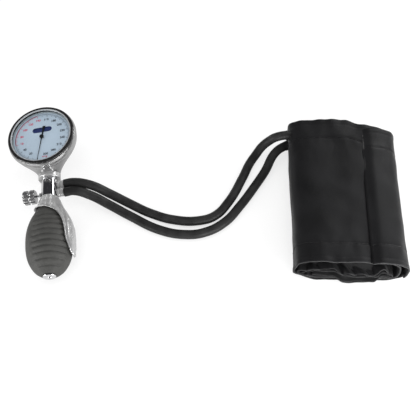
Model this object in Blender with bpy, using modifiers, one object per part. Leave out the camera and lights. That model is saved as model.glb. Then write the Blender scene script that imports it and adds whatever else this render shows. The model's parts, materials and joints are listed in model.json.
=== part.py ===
"""Palm-type aneroid blood pressure monitor: gauge head, squeeze bulb, two hoses and a rolled arm cuff.

Lengths are named in millimetres and turned into metres where an object is made. The world's +Y runs
along the pump from the bulb to the gauge, +X runs from the pump towards the cuff, and +Z is up. The
origin is the middle of the rolled cuff's flat underside, on the table. The pump's pieces hang on the
unit empty, whose +Y is the post's axis and whose +Z is the dial's normal. The cuff's pieces hang on
the cuff empty, whose +Y is the axis of the roll.
"""

import math

import bmesh
import bpy
from mathutils import Vector

MM = 0.001
GAP = 0.3  # clearance between neighbouring pieces

# Pump: where it lies, and its roll onto the table
UNIT_PLACE = (-284.1, 53.3, 23.0)
UNIT_ROLL = -7.5  # degrees about the post's axis

# Gauge head, heights measured along the dial's normal from the post's axis
DIAL_Y = 37.0
RING_R = 33.1
RING_INNER_R = 29.4
RING_TOP = 27.0
RING_LOW = 24.95
GASKET_LOW = 23.3
CASE_R = 33.0
CASE_TOP = 24.9
SHOULDER_LOW = 17.0
CASE_WALL = 1.4
GLASS_R = 31.2
GLASS_LOW = 25.0
GLASS_TOP = 26.0
DIAL_R = 30.2
DIAL_LOW = 21.4
DIAL_TOP = 22.2
POINTER_LOW = 22.8
POINTER_THICK = 0.35
POINTER_REACH = 26.0
POINTER_TAIL = 12.5
HUB_R = 2.2
HUB_LOW = POINTER_LOW + POINTER_THICK + GAP
REST_ANGLE = -100.0  # direction of the hand at zero pressure, from +X towards +Y

# Movement
TOOTH_MODULE = 0.4
PINION_TEETH = 12
SECTOR_TEETH = 102
PITCH_PINION_R = TOOTH_MODULE * PINION_TEETH / 2
PITCH_SECTOR_R = TOOTH_MODULE * SECTOR_TEETH / 2
CENTRE_DISTANCE = PITCH_PINION_R + PITCH_SECTOR_R + 0.1
GEAR_LOW = 8.4
GEAR_THICK = 1.0
PLATE_LOW = 6.0
PLATE_HIGH = 14.5
PLATE_THICK = 0.8
PILLARS = ((-11.0, -7.0), (11.0, -7.0), (-7.5, 23.5), (7.5, 23.5))
CAPSULE_Y = -5.0
CAPSULE_R = 11.5
CAPSULE_TOP = 4.6
ROCKER_X = 4.5
ROCKER_Z = 12.2
ROCKER_R = 0.45
ROCKER_TAIL_Y = 26.3
ARBOR_LOW = 5.2
SPRING_Z = 13.4
SPRING_INNER_R = 1.6
SPRING_OUTER_R = 4.0
SPRING_TURNS = 3

# Post, ports and valve, measured from the underside of the swivel collar
COLLAR_R = 10.2
COLLAR_TOP = 8.7
POST_R = 7.8
POST_LOW = -23.5
POST_SHOULDER_Y = -20.4  # the spoon hangs under this step
POST_FOOT_R = 6.6
STEM_R = 2.5
STEM_LOW = -4.5
STEM_BORE_R = 3.95
STEM_BORE_LOW = -4.8
AIRWAY_R = 1.5
PORT_UPPER_Y = -6.9
PORT_LOWER_Y = -16.2
PORT_BORE_R = 2.35
BARB_ROOT_R = 2.0
BARB_FLANGE_R = 4.2
HOSE_START_X = 15.0
KNOB_NEAR_X = 13.4
KNOB_FAR_X = 25.4
KNOB_R = 7.1
KNOB_GROOVE_R = 5.9

# Bulb and spoon
SPOON_TOP = -20.45
SPOON_WALL = 1.2
SPOON_NECK_R = 7.0
SPOON_SIDE = 90.0  # direction of the leaf, degrees from the dial's normal towards +X
CONE_LOW = -30.5
LEAF_TIP = -87.0
BULB_LOW = -102.3

# Hoses
HOSE_R = 4.55
HOSE_WALL = 1.8
TABLE_Z = HOSE_R + 0.4

# Cuff roll, in the cuff empty's frame
CUFF_TURN = -8.0  # degrees about +Z
CUFF_HALF_WIDTH = 56.0
CUFF_HALF_HEIGHT = 24.0
CUFF_HALF_LENGTH = 77.5
CUFF_SHIFT = 2.5  # the roll reaches this much further towards +Y than towards -Y
ROLL_POWER = 3.0  # superellipse exponent of the flattened roll
ROLL_STEP = 10.0  # degrees between points of a band
ROLL_START = -25.0  # where the outermost band begins, at the right fold near the table
SHRINK_AFTER = 145.0  # degrees of turn before the band starts to move inwards
SHRINK_PER_TURN = 12.5
CLOTH_THICK = 1.6
LINING_DEPTH = 5.2
BLADDER_THICK = 2.4
CLOTH_TURN = 500.0
FLAP_FROM = -21.0
FLAP_TO = 79.0
FLAP_LENGTH = 149.0
FLAP_SHIFT = -4.0
HOSE_ENTRY_UPPER = (69.3, 29.0, 12.0)  # along the roll, up, and the hose's tilt in degrees
HOSE_ENTRY_LOWER = (65.5, 15.0, 38.0)
FOLD_X = -55.5
GROMMET_FACE = 2.3  # how far a grommet stands out from the fold
GROMMET_THICK = 1.6
NIPPLE_GRIP = 5.0  # length of a nipple inside its hose

COLOURS = {
    "satin_metal": ((0.62, 0.62, 0.62), 0.34, 1.0),
    "bright_metal": ((0.78, 0.78, 0.79), 0.12, 1.0),
    "black_ring": ((0.03, 0.03, 0.03), 0.3, 0.0),
    "window": ((0.9, 0.95, 0.96), 0.05, 0.0),
    "dial_white": ((0.62, 0.68, 0.75), 0.6, 0.0),
    "hand_black": ((0.02, 0.02, 0.02), 0.4, 0.0),
    "movement_brass": ((0.72, 0.55, 0.26), 0.3, 1.0),
    "spring_bronze": ((0.6, 0.42, 0.25), 0.35, 1.0),
    "seal_rubber": ((0.03, 0.03, 0.03), 0.7, 0.0),
    "bulb_rubber": ((0.1, 0.1, 0.09), 0.65, 0.0),
    "hose_rubber": ((0.02, 0.02, 0.02), 0.6, 0.0),
    "cuff_nylon": ((0.02, 0.02, 0.022), 0.75, 0.0),
    "lining_cloth": ((0.025, 0.025, 0.028), 0.8, 0.0),
    "bladder_rubber": ((0.05, 0.05, 0.05), 0.6, 0.0),
    "fastener_tape": ((0.015, 0.015, 0.015), 0.9, 0.0),
}


def clear_scene():
    for obj in list(bpy.data.objects):
        bpy.data.objects.remove(obj, do_unlink=True)


def new_collection(name):
    collection = bpy.data.collections.new(name)
    bpy.context.scene.collection.children.link(collection)
    return collection


def material(slot):
    """The Principled material of a slot, made once."""
    found = bpy.data.materials.get(slot)
    if found:
        return found
    colour, roughness, metallic = COLOURS[slot]
    made = bpy.data.materials.new(slot)
    made.use_nodes = True
    shader = made.node_tree.nodes["Principled BSDF"]
    shader.inputs["Base Color"].default_value = (*colour, 1.0)
    shader.inputs["Roughness"].default_value = roughness
    shader.inputs["Metallic"].default_value = metallic
    return made


def place(obj, slot, parent=None, location=(0, 0, 0), rotation=(0, 0, 0), collection=None):
    """Links the object, in millimetres and degrees under its parent."""
    (collection or PARTS).objects.link(obj)
    obj.parent = parent
    obj.location = Vector(location) * MM
    obj.rotation_euler = [math.radians(angle) for angle in rotation]
    if slot:
        obj.data.materials.append(material(slot))
    return obj


def empty(name, parent=None, location=(0, 0, 0), rotation=(0, 0, 0)):
    return place(bpy.data.objects.new(name, None), None, parent, location, rotation)


def mesh_object(name, points, edges, faces):
    mesh = bpy.data.meshes.new(name)
    mesh.from_pydata([Vector(point) * MM for point in points], edges, faces)
    mesh.update()
    return bpy.data.objects.new(name, mesh)


ALONG_Y = (-90, 0, 0)
ALONG_X = (0, 90, 0)
ALONG_MINUS_X = (0, -90, 0)


def turned(name, profile, slot, parent=None, location=(0, 0, 0), rotation=(0, 0, 0), steps=32, ring=False,
           collection=None):
    """A solid of revolution about local +Z. The profile is (radius, height), outer side top to bottom.

    A ring's profile closes on itself, so the piece has a bore.
    """
    points = [(radius, 0, height) for radius, height in profile]
    edges = [(i, i + 1) for i in range(len(points) - 1)]
    if ring:
        edges.append((len(points) - 1, 0))
    obj = place(mesh_object(name, points, edges, []), slot, parent, location, rotation, collection)
    screw = obj.modifiers.new("Turn", "SCREW")
    screw.axis = "Z"
    screw.angle = math.tau
    screw.steps = steps
    screw.render_steps = steps
    screw.use_merge_vertices = True
    screw.merge_threshold = 0.00001
    return obj


def cylinder(name, radius, low, high, slot, parent=None, location=(0, 0, 0), rotation=(0, 0, 0), steps=24,
             collection=None):
    profile = [(0, high), (radius, high), (radius, low), (0, low)]
    return turned(name, profile, slot, parent, location, rotation, steps, collection=collection)


def cutter(name, radius, low, high, parent=None, location=(0, 0, 0), rotation=(0, 0, 0), steps=14):
    obj = cylinder(name, radius, low, high, None, parent, location, rotation, steps, CUTTERS)
    obj.hide_render = True
    obj.display_type = "WIRE"
    return obj


def combine(obj, other, operation):
    boolean = obj.modifiers.new(operation.title(), "BOOLEAN")
    boolean.operation = operation
    boolean.object = other
    boolean.solver = "EXACT"


def cut(obj, other):
    combine(obj, other, "DIFFERENCE")


def ball(name, radius, slot, parent, location):
    mesh = bpy.data.meshes.new(name)
    shape = bmesh.new()
    bmesh.ops.create_uvsphere(shape, u_segments=12, v_segments=6, radius=radius * MM)
    shape.to_mesh(mesh)
    shape.free()
    return place(bpy.data.objects.new(name, mesh), slot, parent, location)


def flat_outline(name, outlines, thickness, slot, parent, location=(0, 0, 0), rotation=(0, 0, 0)):
    """A flat piece whose first outline is its edge and whose other outlines are holes."""
    curve = bpy.data.curves.new(name, "CURVE")
    curve.dimensions = "2D"
    curve.fill_mode = "BOTH"
    curve.extrude = thickness * MM / 2
    for outline in outlines:
        spline = curve.splines.new("POLY")
        spline.points.add(len(outline) - 1)
        for point, (x, y) in zip(spline.points, outline):
            point.co = (x * MM, y * MM, 0, 1)
        spline.use_cyclic_u = True
    return place(bpy.data.objects.new(name, curve), slot, parent, location, rotation)


def wire(name, points, radius, sides, slot, parent):
    """A bent wire through the points, with an even number of sides."""
    curve = bpy.data.curves.new(name, "CURVE")
    curve.dimensions = "3D"
    curve.bevel_depth = radius * MM
    curve.bevel_resolution = (sides - 4) // 2
    curve.use_fill_caps = True
    spline = curve.splines.new("POLY")
    spline.points.add(len(points) - 1)
    for point, place_mm in zip(spline.points, points):
        point.co = (*(Vector(place_mm) * MM), 1)
    return place(bpy.data.objects.new(name, curve), slot, parent)


def circle(radius, count=16, centre=(0, 0)):
    turns = [math.tau * i / count for i in range(count)]
    return [(centre[0] + radius * math.cos(t), centre[1] + radius * math.sin(t)) for t in turns]


def polar(radius, degrees):
    angle = math.radians(degrees)
    return radius * math.cos(angle), radius * math.sin(angle)


def bezier(points, t):
    """The cubic through four control points."""
    a, b, c, d = (Vector(point) for point in points)
    s = 1 - t
    return a * s**3 + b * 3 * s * s * t + c * 3 * s * t * t + d * t**3


def interpolate(table, x):
    """Straight-line reading of a table of (x, value) with falling x."""
    for (x0, v0), (x1, v1) in zip(table, table[1:]):
        if x >= x1:
            return v0 + (v1 - v0) * (x - x0) / (x1 - x0)
    return table[-1][1]


# ---- gauge head ----


def gauge_case(gauge):
    """Scoop shell: a straight shoulder under the ring, then a loft that bends to the round neck."""
    around, stages = 28, 6
    points = []
    for k in range(around):
        turn = math.tau * k / around
        cosine, sine = math.cos(turn), math.sin(turn)
        share = (1 + sine) / 2
        rim = Vector((CASE_R * cosine, CASE_R * sine, SHOULDER_LOW))
        neck = Vector((COLLAR_R * cosine, COLLAR_TOP - DIAL_Y, -COLLAR_R * sine))
        drop = Vector((0, 0, -3 - 19 * share))
        lead = Vector((0, 30 * share, 0))
        points.append((rim.x, rim.y, CASE_TOP))
        for stage in range(stages + 1):
            points.append(bezier((rim, rim + drop, neck + lead, neck), stage / stages))
    rows = stages + 2
    faces = []
    for k in range(around):
        near, far = k * rows, ((k + 1) % around) * rows
        for row in range(rows - 1):
            faces.append((near + row, near + row + 1, far + row + 1, far + row))
    case = place(mesh_object("gauge_case", points, [], faces), "satin_metal", gauge)
    shell = case.modifiers.new("Wall", "SOLIDIFY")
    shell.thickness = CASE_WALL * MM
    shell.offset = -1
    return case


def window(gauge):
    lip_low = GLASS_TOP + GAP
    skirt_r = GLASS_R + 0.4
    gasket_top = GLASS_LOW - GAP
    turned("bezel_ring", [
        (RING_INNER_R, lip_low + 0.2), (RING_INNER_R + 0.7, RING_TOP), (RING_R - 0.8, RING_TOP),
        (RING_R, RING_TOP - 0.8), (RING_R, RING_LOW), (skirt_r, RING_LOW), (skirt_r, lip_low),
        (RING_INNER_R, lip_low),
    ], "black_ring", gauge, steps=36, ring=True)
    cylinder("crystal", GLASS_R, GLASS_LOW, GLASS_TOP, "window", gauge, steps=36)
    turned("crystal_gasket", [
        (GLASS_R - 1.4, gasket_top), (GLASS_R, gasket_top), (GLASS_R, GASKET_LOW), (GLASS_R - 1.4, GASKET_LOW),
    ], "seal_rubber", gauge, steps=28, ring=True)


def dial(gauge):
    turned("dial_plate", [
        (1.6, DIAL_TOP), (DIAL_R, DIAL_TOP), (DIAL_R, DIAL_LOW), (1.6, DIAL_LOW),
    ], "dial_white", gauge, steps=36, ring=True)
    foot_low = PLATE_HIGH + PLATE_THICK + GAP
    for side, x in (("left", -10.0), ("right", 10.0)):
        cylinder(f"dial_foot_{side}", 1.2, foot_low, DIAL_LOW - GAP, "movement_brass", gauge, (x, 4.0, 0),
                 steps=12)


def hand(gauge):
    """The hand lies along local +X of its own object, turned to its rest direction."""
    tail, reach = -POINTER_TAIL, POINTER_REACH
    outline = [
        (reach, 0.12), (1.0, 0.45), (0.0, 1.7), (-1.7, 0.6), (tail + 3, 1.0), (tail, 1.4),
        (tail, -1.4), (tail + 3, -1.0), (-1.7, -0.6), (0.0, -1.7), (1.0, -0.45), (reach, -0.12),
    ]
    middle = POINTER_LOW + POINTER_THICK / 2
    flat_outline("pointer", [outline], POINTER_THICK, "hand_black", gauge, (0, 0, middle), (0, 0, REST_ANGLE))
    turned("pointer_hub", [
        (0, HUB_LOW + 1.0), (HUB_R - 0.5, HUB_LOW + 1.0), (HUB_R, HUB_LOW + 0.5), (HUB_R, HUB_LOW), (0, HUB_LOW),
    ], "hand_black", gauge, steps=20)


def tooth_corners(teeth, pitch_r, first, last, start=0.0):
    """Corners of trapezoid teeth from first up to last - 1 of a gear with this many, from the start angle."""
    root_r = pitch_r - TOOTH_MODULE * 1.15
    tip_r = pitch_r + TOOTH_MODULE * 0.9
    pitch = 360 / teeth
    corners = []
    for tooth in range(first, last):
        for radius, turn in ((root_r, -0.34), (tip_r, -0.13), (tip_r, 0.13), (root_r, 0.34)):
            corners.append(polar(radius, start + (tooth + turn) * pitch))
    return corners


def pinion(gauge):
    """The upright arbor that carries the hand. One of its teeth points at the sector."""
    outline = tooth_corners(PINION_TEETH, PITCH_PINION_R, 0, PINION_TEETH, 90)
    middle = (0, 0, GEAR_LOW + GEAR_THICK / 2)
    curve = flat_outline("pinion_teeth", [outline], GEAR_THICK * 1.6, None, gauge, middle)
    teeth = as_mesh(curve, "pinion_teeth_solid", gauge)
    arbor = cylinder("pinion_arbor", 0.8, ARBOR_LOW, POINTER_LOW - GAP, "movement_brass", gauge, steps=14)
    combine(arbor, teeth, "UNION")
    helper(teeth)


def helper(obj):
    """Moves a tool body to the cutters, so that it isn't a piece itself."""
    for collection in list(obj.users_collection):
        collection.objects.unlink(obj)
    CUTTERS.objects.link(obj)
    obj.hide_render = True
    obj.display_type = "WIRE"


def as_mesh(curve, name, parent):
    """A welded mesh object in the place of a curve object, which is removed."""
    bpy.context.view_layer.update()
    graph = bpy.context.evaluated_depsgraph_get()
    mesh = bpy.data.meshes.new_from_object(curve.evaluated_get(graph))
    shape = bmesh.new()
    shape.from_mesh(mesh)
    bmesh.ops.remove_doubles(shape, verts=shape.verts, dist=0.000002)
    shape.to_mesh(mesh)
    shape.free()
    obj = bpy.data.objects.new(name, mesh)
    PARTS.objects.link(obj)
    obj.parent = parent
    obj.matrix_world = curve.matrix_world
    bpy.data.objects.remove(curve, do_unlink=True)
    return obj


def sector(gauge):
    """Toothed sector beyond the pinion. At rest its arc lies towards -X, and a tooth gap meets the pinion."""
    pitch = 360 / SECTOR_TEETH
    first, last = -13, 2
    meeting = -90 + pitch / 2
    arc = tooth_corners(SECTOR_TEETH, PITCH_SECTOR_R, first, last, meeting)
    arc_start = meeting + (first - 0.5) * pitch
    arc_end = meeting + (last - 0.5) * pitch
    rim_r = PITCH_SECTOR_R - 4
    front = [polar(rim_r, arc_end), polar(4.2, arc_end + 12)]
    tail = [polar(3.6, 10), polar(4.9, 42), polar(4.9, 52), polar(3.6, 90), polar(3.6, 150)]
    back = [polar(4.2, arc_start - 14), polar(rim_r, arc_start)]
    centre = (0, CENTRE_DISTANCE, GEAR_LOW + GEAR_THICK / 2)
    flat_outline("sector_gear", [arc + front + tail + back, circle(1.4, 14)], GEAR_THICK, "movement_brass", gauge,
                 centre)
    cylinder("sector_arbor", 1.0, ARBOR_LOW, PLATE_HIGH + 1.5, "movement_brass", gauge, (0, CENTRE_DISTANCE, 0),
             steps=14)


def movement(gauge):
    edge = [(-12.6, -7.5), (-9, -9), (9, -9), (12.6, -7.5), (12.6, 6), (9.2, 24.2), (4.5, 26), (-4.5, 26),
            (-9.2, 24.2), (-12.6, 6)]
    bearings = [circle(1.25, 14), circle(1.45, 14, (0, CENTRE_DISTANCE))]
    low_middle = PLATE_LOW + PLATE_THICK / 2
    high_middle = PLATE_HIGH + PLATE_THICK / 2
    pusher_hole = circle(2.0, 12, (0, CAPSULE_Y))
    flat_outline("movement_plate_lower", [edge, *bearings, pusher_hole], PLATE_THICK, "movement_brass", gauge,
                 (0, 0, low_middle))
    flat_outline("movement_plate_upper", [edge, *bearings], PLATE_THICK, "movement_brass", gauge,
                 (0, 0, high_middle))
    for number, (x, y) in enumerate(PILLARS, 1):
        cylinder(f"movement_pillar_{number}", 1.3, PLATE_LOW + PLATE_THICK + GAP, PLATE_HIGH - GAP,
                 "movement_brass", gauge, (x, y, 0), steps=10)
    wire("rocking_shaft", [
        (0, CAPSULE_Y, ROCKER_Z), (ROCKER_X, CAPSULE_Y, ROCKER_Z), (ROCKER_X, ROCKER_TAIL_Y, ROCKER_Z),
        (ROCKER_X, ROCKER_TAIL_Y, GEAR_LOW + 0.2),
    ], ROCKER_R, 8, "spring_bronze", gauge)
    wire("hairspring", spiral(SPRING_INNER_R, SPRING_OUTER_R, SPRING_TURNS, SPRING_Z), 0.16, 4, "spring_bronze",
         gauge)


def spiral(inner_r, outer_r, turns, height, count=42):
    points = []
    for i in range(count + 1):
        share = i / count
        points.append((*polar(inner_r + (outer_r - inner_r) * share, 360 * turns * share), height))
    return points


def capsule(gauge):
    """Corrugated pressure capsule under the movement, and the button that it lifts."""
    half = CAPSULE_TOP / 2
    groove = half - 0.7
    turned("capsule", [
        (0, half), (3, half), (4.5, groove), (6, half), (7.5, groove), (9, half), (CAPSULE_R, half - 1.3),
        (CAPSULE_R, 1.3 - half), (9, -half), (7.5, -groove), (6, -half), (4.5, -groove), (3, -half), (0, -half),
    ], "spring_bronze", gauge, (0, CAPSULE_Y, half), steps=18)
    pusher_low = CAPSULE_TOP + GAP
    pusher_top = ROCKER_Z - ROCKER_R - GAP
    turned("capsule_pusher", [
        (0, pusher_top), (0.9, pusher_top), (0.9, pusher_low + 0.9), (1.6, pusher_low + 0.9), (1.6, pusher_low),
        (0, pusher_low),
    ], "movement_brass", gauge, (0, CAPSULE_Y, 0), steps=14)


# ---- post, ports and release valve ----


def swivel(unit):
    case_low = COLLAR_TOP - GAP
    turned("swivel_collar", [
        (STEM_R + 0.4, case_low), (COLLAR_R - 0.6, case_low), (COLLAR_R, case_low - 0.6), (COLLAR_R, GAP + 0.6),
        (COLLAR_R - 0.6, GAP), (STEM_R + 0.4, GAP),
    ], "satin_metal", unit, rotation=ALONG_Y, steps=26, ring=True)
    stem_top = DIAL_Y + CAPSULE_Y - CAPSULE_R - 2.0
    turned("gauge_stem", [
        (1.1, stem_top), (STEM_R, stem_top), (STEM_R, STEM_LOW), (1.1, STEM_LOW),
    ], "movement_brass", unit, rotation=ALONG_Y, steps=20, ring=True)
    turned("stem_o_ring", o_ring(3.22, 0.38), "seal_rubber", unit, (0, -2.2, 0), ALONG_Y, steps=16, ring=True)
    turned("swivel_screw", [
        (0, 8.9), (1.3, 8.9), (1.5, 8.6), (1.5, 4.4), (0, 4.4),
    ], "bright_metal", unit, (0, -3.4, 0), steps=14)


def o_ring(major, minor):
    """A hexagon section, its outer side running down."""
    angles = [120 - 60 * i for i in range(6)]
    return [(major + polar(minor, a)[0], polar(minor, a)[1]) for a in angles]


def post(unit):
    body = turned("valve_body", [
        (STEM_BORE_R, 0), (POST_R - 0.5, 0), (POST_R, -0.5), (POST_R, POST_SHOULDER_Y),
        (POST_FOOT_R, POST_SHOULDER_Y), (POST_FOOT_R, POST_LOW), (3.5, POST_LOW), (3.5, POST_LOW + 3.4),
        (AIRWAY_R, POST_LOW + 3.4), (AIRWAY_R, STEM_BORE_LOW),
        (STEM_BORE_R, STEM_BORE_LOW),
    ], "bright_metal", unit, rotation=ALONG_Y, steps=28, ring=True)
    for name, y in (("upper", PORT_UPPER_Y), ("lower", PORT_LOWER_Y)):
        cut(body, cutter(f"port_{name}_cut", PORT_BORE_R, 4.0, 10.0, unit, (0, y, 0), ALONG_X))
        cut(body, cutter(f"port_{name}_airway", 1.0, 0.5, 5.0, unit, (0, y, 0), ALONG_X, 12))
    cut(body, cutter("needle_bore", 2.4, 4.2, 10.0, unit, (0, PORT_LOWER_Y, 0), ALONG_MINUS_X))
    cut(body, cutter("needle_seat", 1.5, 0.4, 5.0, unit, (0, PORT_LOWER_Y, 0), ALONG_MINUS_X, 16))
    cut(body, cutter("swivel_screw_hole", 1.8, 3.0, 10.0, unit, (0, -3.4, 0), (0, 0, 0), 14))


def barb(name, unit, y):
    """Hose fitting: a root in the post, a round flange and a tail that fills the hose's mouth."""
    near, far, tail = POST_R + GAP, HOSE_START_X - 0.4, 23.0
    groove_r = BARB_FLANGE_R - 1.1
    turned(name, [
        (1.0, tail), (1.5, tail), (BARB_ROOT_R, tail - 2), (BARB_ROOT_R - 0.3, tail - 2.1),
        (BARB_ROOT_R - 0.3, far), (BARB_FLANGE_R - 0.3, far), (BARB_FLANGE_R - 0.3, far - 3.0),
        (groove_r, far - 3.2), (groove_r, far - 4.0), (BARB_FLANGE_R, far - 4.2), (BARB_FLANGE_R, near),
        (BARB_ROOT_R, near), (BARB_ROOT_R, 4.4), (1.0, 4.4),
    ], "bright_metal", unit, (0, y, 0), ALONG_X, steps=14, ring=True)


def release_valve(unit):
    middle = (0, PORT_LOWER_Y, 0)
    turned("gland_nut", [
        (1.6, 9.7), (2.6, 9.7), (2.9, 9.4), (2.9, POST_R + GAP), (1.6, POST_R + GAP),
    ], "bright_metal", unit, middle, ALONG_MINUS_X, steps=16, ring=True)
    turned("needle_o_ring", o_ring(1.78, 0.3), "seal_rubber", unit, (-6.0, PORT_LOWER_Y, 0), ALONG_MINUS_X,
           steps=14, ring=True)
    turned("needle_valve", [
        (0, KNOB_FAR_X - 4), (1.2, KNOB_FAR_X - 4), (1.2, 4.4), (0.3, 2.0), (0, 2.0),
    ], "bright_metal", unit, middle, ALONG_MINUS_X, steps=14)
    groove = (KNOB_NEAR_X + KNOB_FAR_X) / 2
    turned("valve_knob", [
        (0, KNOB_FAR_X), (KNOB_R - 1, KNOB_FAR_X), (KNOB_R, KNOB_FAR_X - 0.8), (KNOB_R, groove + 0.9),
        (KNOB_GROOVE_R, groove + 0.6), (KNOB_GROOVE_R, groove - 0.6), (KNOB_R, groove - 0.9),
        (KNOB_R, KNOB_NEAR_X + 0.8), (KNOB_R - 1, KNOB_NEAR_X), (1.5, KNOB_NEAR_X), (1.5, KNOB_FAR_X - 3.6),
        (0, KNOB_FAR_X - 3.6),
    ], "satin_metal", unit, middle, ALONG_MINUS_X, steps=24)


# ---- bulb, spoon and check valves ----


def outlet_valve(unit):
    """Tube between post and bulb, with a seat, a ball chamber and a perforated stop."""
    turned("outlet_valve_body", [
        (1.2, -20.6), (3.2, -20.6), (3.2, -24.0), (4.2, -24.3), (4.2, -43.0), (1.2, -43.0), (1.2, -36.0),
        (2.3, -35.0), (2.3, -29.4), (1.2, -28.2),
    ], "bright_metal", unit, rotation=ALONG_Y, steps=16, ring=True)
    ball("outlet_ball", 1.7, "seal_rubber", unit, (0, -33.4, 0))


def spoon(unit):
    """Cone over the bulb's neck that runs on as a leaf along one side. Rows share a turn angle."""
    outer = (
        (SPOON_TOP, 8.5), (-22.5, 9.2), (-25.0, 10.2), (-28.0, 11.3), (-31.0, 12.4), (-34.0, 13.8), (-37.7, 15.9),
        (-42.5, 18.3), (-47.0, 20.3), (-56.0, 22.9), (-65.0, 23.7), (-75.0, 23.8), (-83.0, 23.1), (-87.0, 22.4),
    )
    edge = (
        (0, LEAF_TIP), (9, -86.0), (18, -83.0), (27, -79.5), (34, -74.0), (38, -64.5), (41, -56.5), (46, -49.5),
        (54, -42.5), (69, -37.7), (96, -33.8), (125, -32.0), (155, -30.8),
    )
    turns = [-angle for angle, _ in reversed(edge[1:])] + [angle for angle, _ in edge] + [180]
    depth = dict(edge) | {-angle: low for angle, low in edge} | {180: CONE_LOW}
    rows = 10
    points = []
    for turn in turns:
        low = depth[turn]
        angle = math.radians(SPOON_SIDE - turn)
        points.append(radial(SPOON_NECK_R, SPOON_TOP, angle))
        for row in range(rows + 1):
            y = SPOON_TOP + (low - SPOON_TOP) * row / rows
            points.append(radial(interpolate(outer, y), y, angle))
    count, columns = rows + 2, len(turns)
    faces = []
    for column in range(columns):
        near, far = column * count, ((column + 1) % columns) * count
        for row in range(count - 1):
            faces.append((near + row, far + row, far + row + 1, near + row + 1))
    leaf = place(mesh_object("spoon_guard", points, [], faces), "bright_metal", unit)
    shell = leaf.modifiers.new("Wall", "SOLIDIFY")
    shell.thickness = SPOON_WALL * MM
    shell.offset = -1


def radial(radius, y, angle):
    """A point at this radius from the post's axis, turned from the dial's normal towards +X."""
    return radius * math.sin(angle), y, radius * math.cos(angle)


def bulb(unit):
    turned("bulb", [
        (4.7, -27.4), (8.6, -27.4), (9.2, -28.6), (10.3, -31.2), (11.6, -34.2), (14.9, -40.2), (17.8, -46.0),
        (20.5, -54.0), (21.8, -62.0), (22.0, -70.0), (21.6, -78.0), (20.2, -85.5), (18.1, -91.0), (14.2, -97.5),
        (9.4, -101.2), (7.0, BULB_LOW), (5.0, BULB_LOW), (5.0, -98.5), (11.8, -96.0), (16.2, -89.0),
        (19.4, -76.0), (19.6, -69.0), (18.0, -54.6), (15.2, -47.4), (8.0, -38.5), (4.7, -36.0),
    ], "bulb_rubber", unit, rotation=ALONG_Y, steps=22, ring=True)


def inlet_valve(unit):
    """Plug in the bulb's far end: outside air lifts the ball off its seat and flows in."""
    low = BULB_LOW - GAP
    turned("inlet_valve_body", [
        (2.4, -94.0), (4.6, -94.0), (4.6, low), (6.1, low), (6.1, low - 0.7), (5.6, low - 1.2), (2.0, low - 1.2),
        (1.2, low + 0.4), (1.2, -100.6), (2.4, -99.4),
    ], "bright_metal", unit, rotation=ALONG_Y, steps=18, ring=True)
    ball("inlet_ball", 1.7, "seal_rubber", unit, (0, -97.9, 0))
    turned("inlet_retainer", [
        (0.9, -93.0), (4.4, -93.0), (4.4, -93.7), (0.9, -93.7),
    ], "bright_metal", unit, rotation=ALONG_Y, steps=16, ring=True)


# ---- hoses ----


def hose(name, world_points):
    """Open tube along a smooth curve through the points, given wall thickness inwards."""
    curve = bpy.data.curves.new(name, "CURVE")
    curve.dimensions = "3D"
    curve.bevel_depth = HOSE_R * MM
    curve.bevel_resolution = 2
    curve.resolution_u = 2
    curve.twist_mode = "MINIMUM"
    spline = curve.splines.new("BEZIER")
    spline.bezier_points.add(len(world_points) - 1)
    for knot, point in zip(spline.bezier_points, world_points):
        knot.co = Vector(point) * MM
        knot.handle_left_type = "AUTO"
        knot.handle_right_type = "AUTO"
    obj = place(bpy.data.objects.new(name, curve), "hose_rubber")
    shell = obj.modifiers.new("Wall", "SOLIDIFY")
    shell.thickness = HOSE_WALL * MM
    shell.offset = -1


def hoses(unit, cuff):
    """Both hoses leave the post side by side, lie on the table and rise to the roll's left fold."""
    upper = [port_point(unit, PORT_UPPER_Y, x) for x in (HOSE_START_X, HOSE_START_X + 9)]
    upper += [
        (-245.0, 44.2, 22.5), (-226.8, 37.8, 12.5), (-208.0, 27.6, 6.5), (-189.2, 15.8, TABLE_Z),
        (-165.3, 5.3, TABLE_Z), (-141.0, 2.0, TABLE_Z), (-125.8, 5.6, TABLE_Z), (-111.0, 19.0, TABLE_Z),
        (-92.2, 46.9, TABLE_Z), (-83.5, 61.6, 5.4), (-75.5, 70.5, 8.4), (-69.5, 75.0, 14.0),
        (-62.0, 76.7, 21.5),
    ]
    upper += hose_end(cuff, HOSE_ENTRY_UPPER)
    lower = [port_point(unit, PORT_LOWER_Y, x) for x in (HOSE_START_X, HOSE_START_X + 9)]
    lower += [
        (-245.5, 34.0, 20.0), (-227.5, 26.0, 10.5), (-208.9, 14.4, 5.6), (-180.8, -4.1, TABLE_Z),
        (-157.1, -11.7, TABLE_Z), (-137.5, -11.4, TABLE_Z), (-116.8, -2.4, TABLE_Z), (-99.8, 13.8, TABLE_Z),
        (-81.6, 35.0, TABLE_Z), (-69.5, 49.6, 5.8), (-61.3, 58.2, 8.4),
    ]
    lower += hose_end(cuff, HOSE_ENTRY_LOWER)
    hose("hose_gauge", upper)
    hose("hose_bulb", lower)


def port_point(unit, y, x):
    return tuple(unit.matrix_world @ (Vector((x, y, 0)) * MM) / MM)


def hose_reach(tilt):
    """How far from the fold a hose's end has to stay so that its tilted rim clears the grommet."""
    turn = math.radians(tilt)
    return (GROMMET_FACE + GAP + HOSE_R * math.sin(turn)) / math.cos(turn)


def hose_end(cuff, entry):
    """The straight last stretch of a hose, in world millimetres, from the bend to its end at the roll."""
    y, z, tilt = entry
    turn = math.radians(tilt)
    points = []
    for reach in (hose_reach(tilt) + NIPPLE_GRIP + 0.5, hose_reach(tilt)):
        local = Vector((FOLD_X - reach * math.cos(turn), y - reach * math.sin(turn), z))
        points.append(tuple(cuff.matrix_world @ (local * MM) / MM))
    return points


# ---- cuff ----


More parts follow.
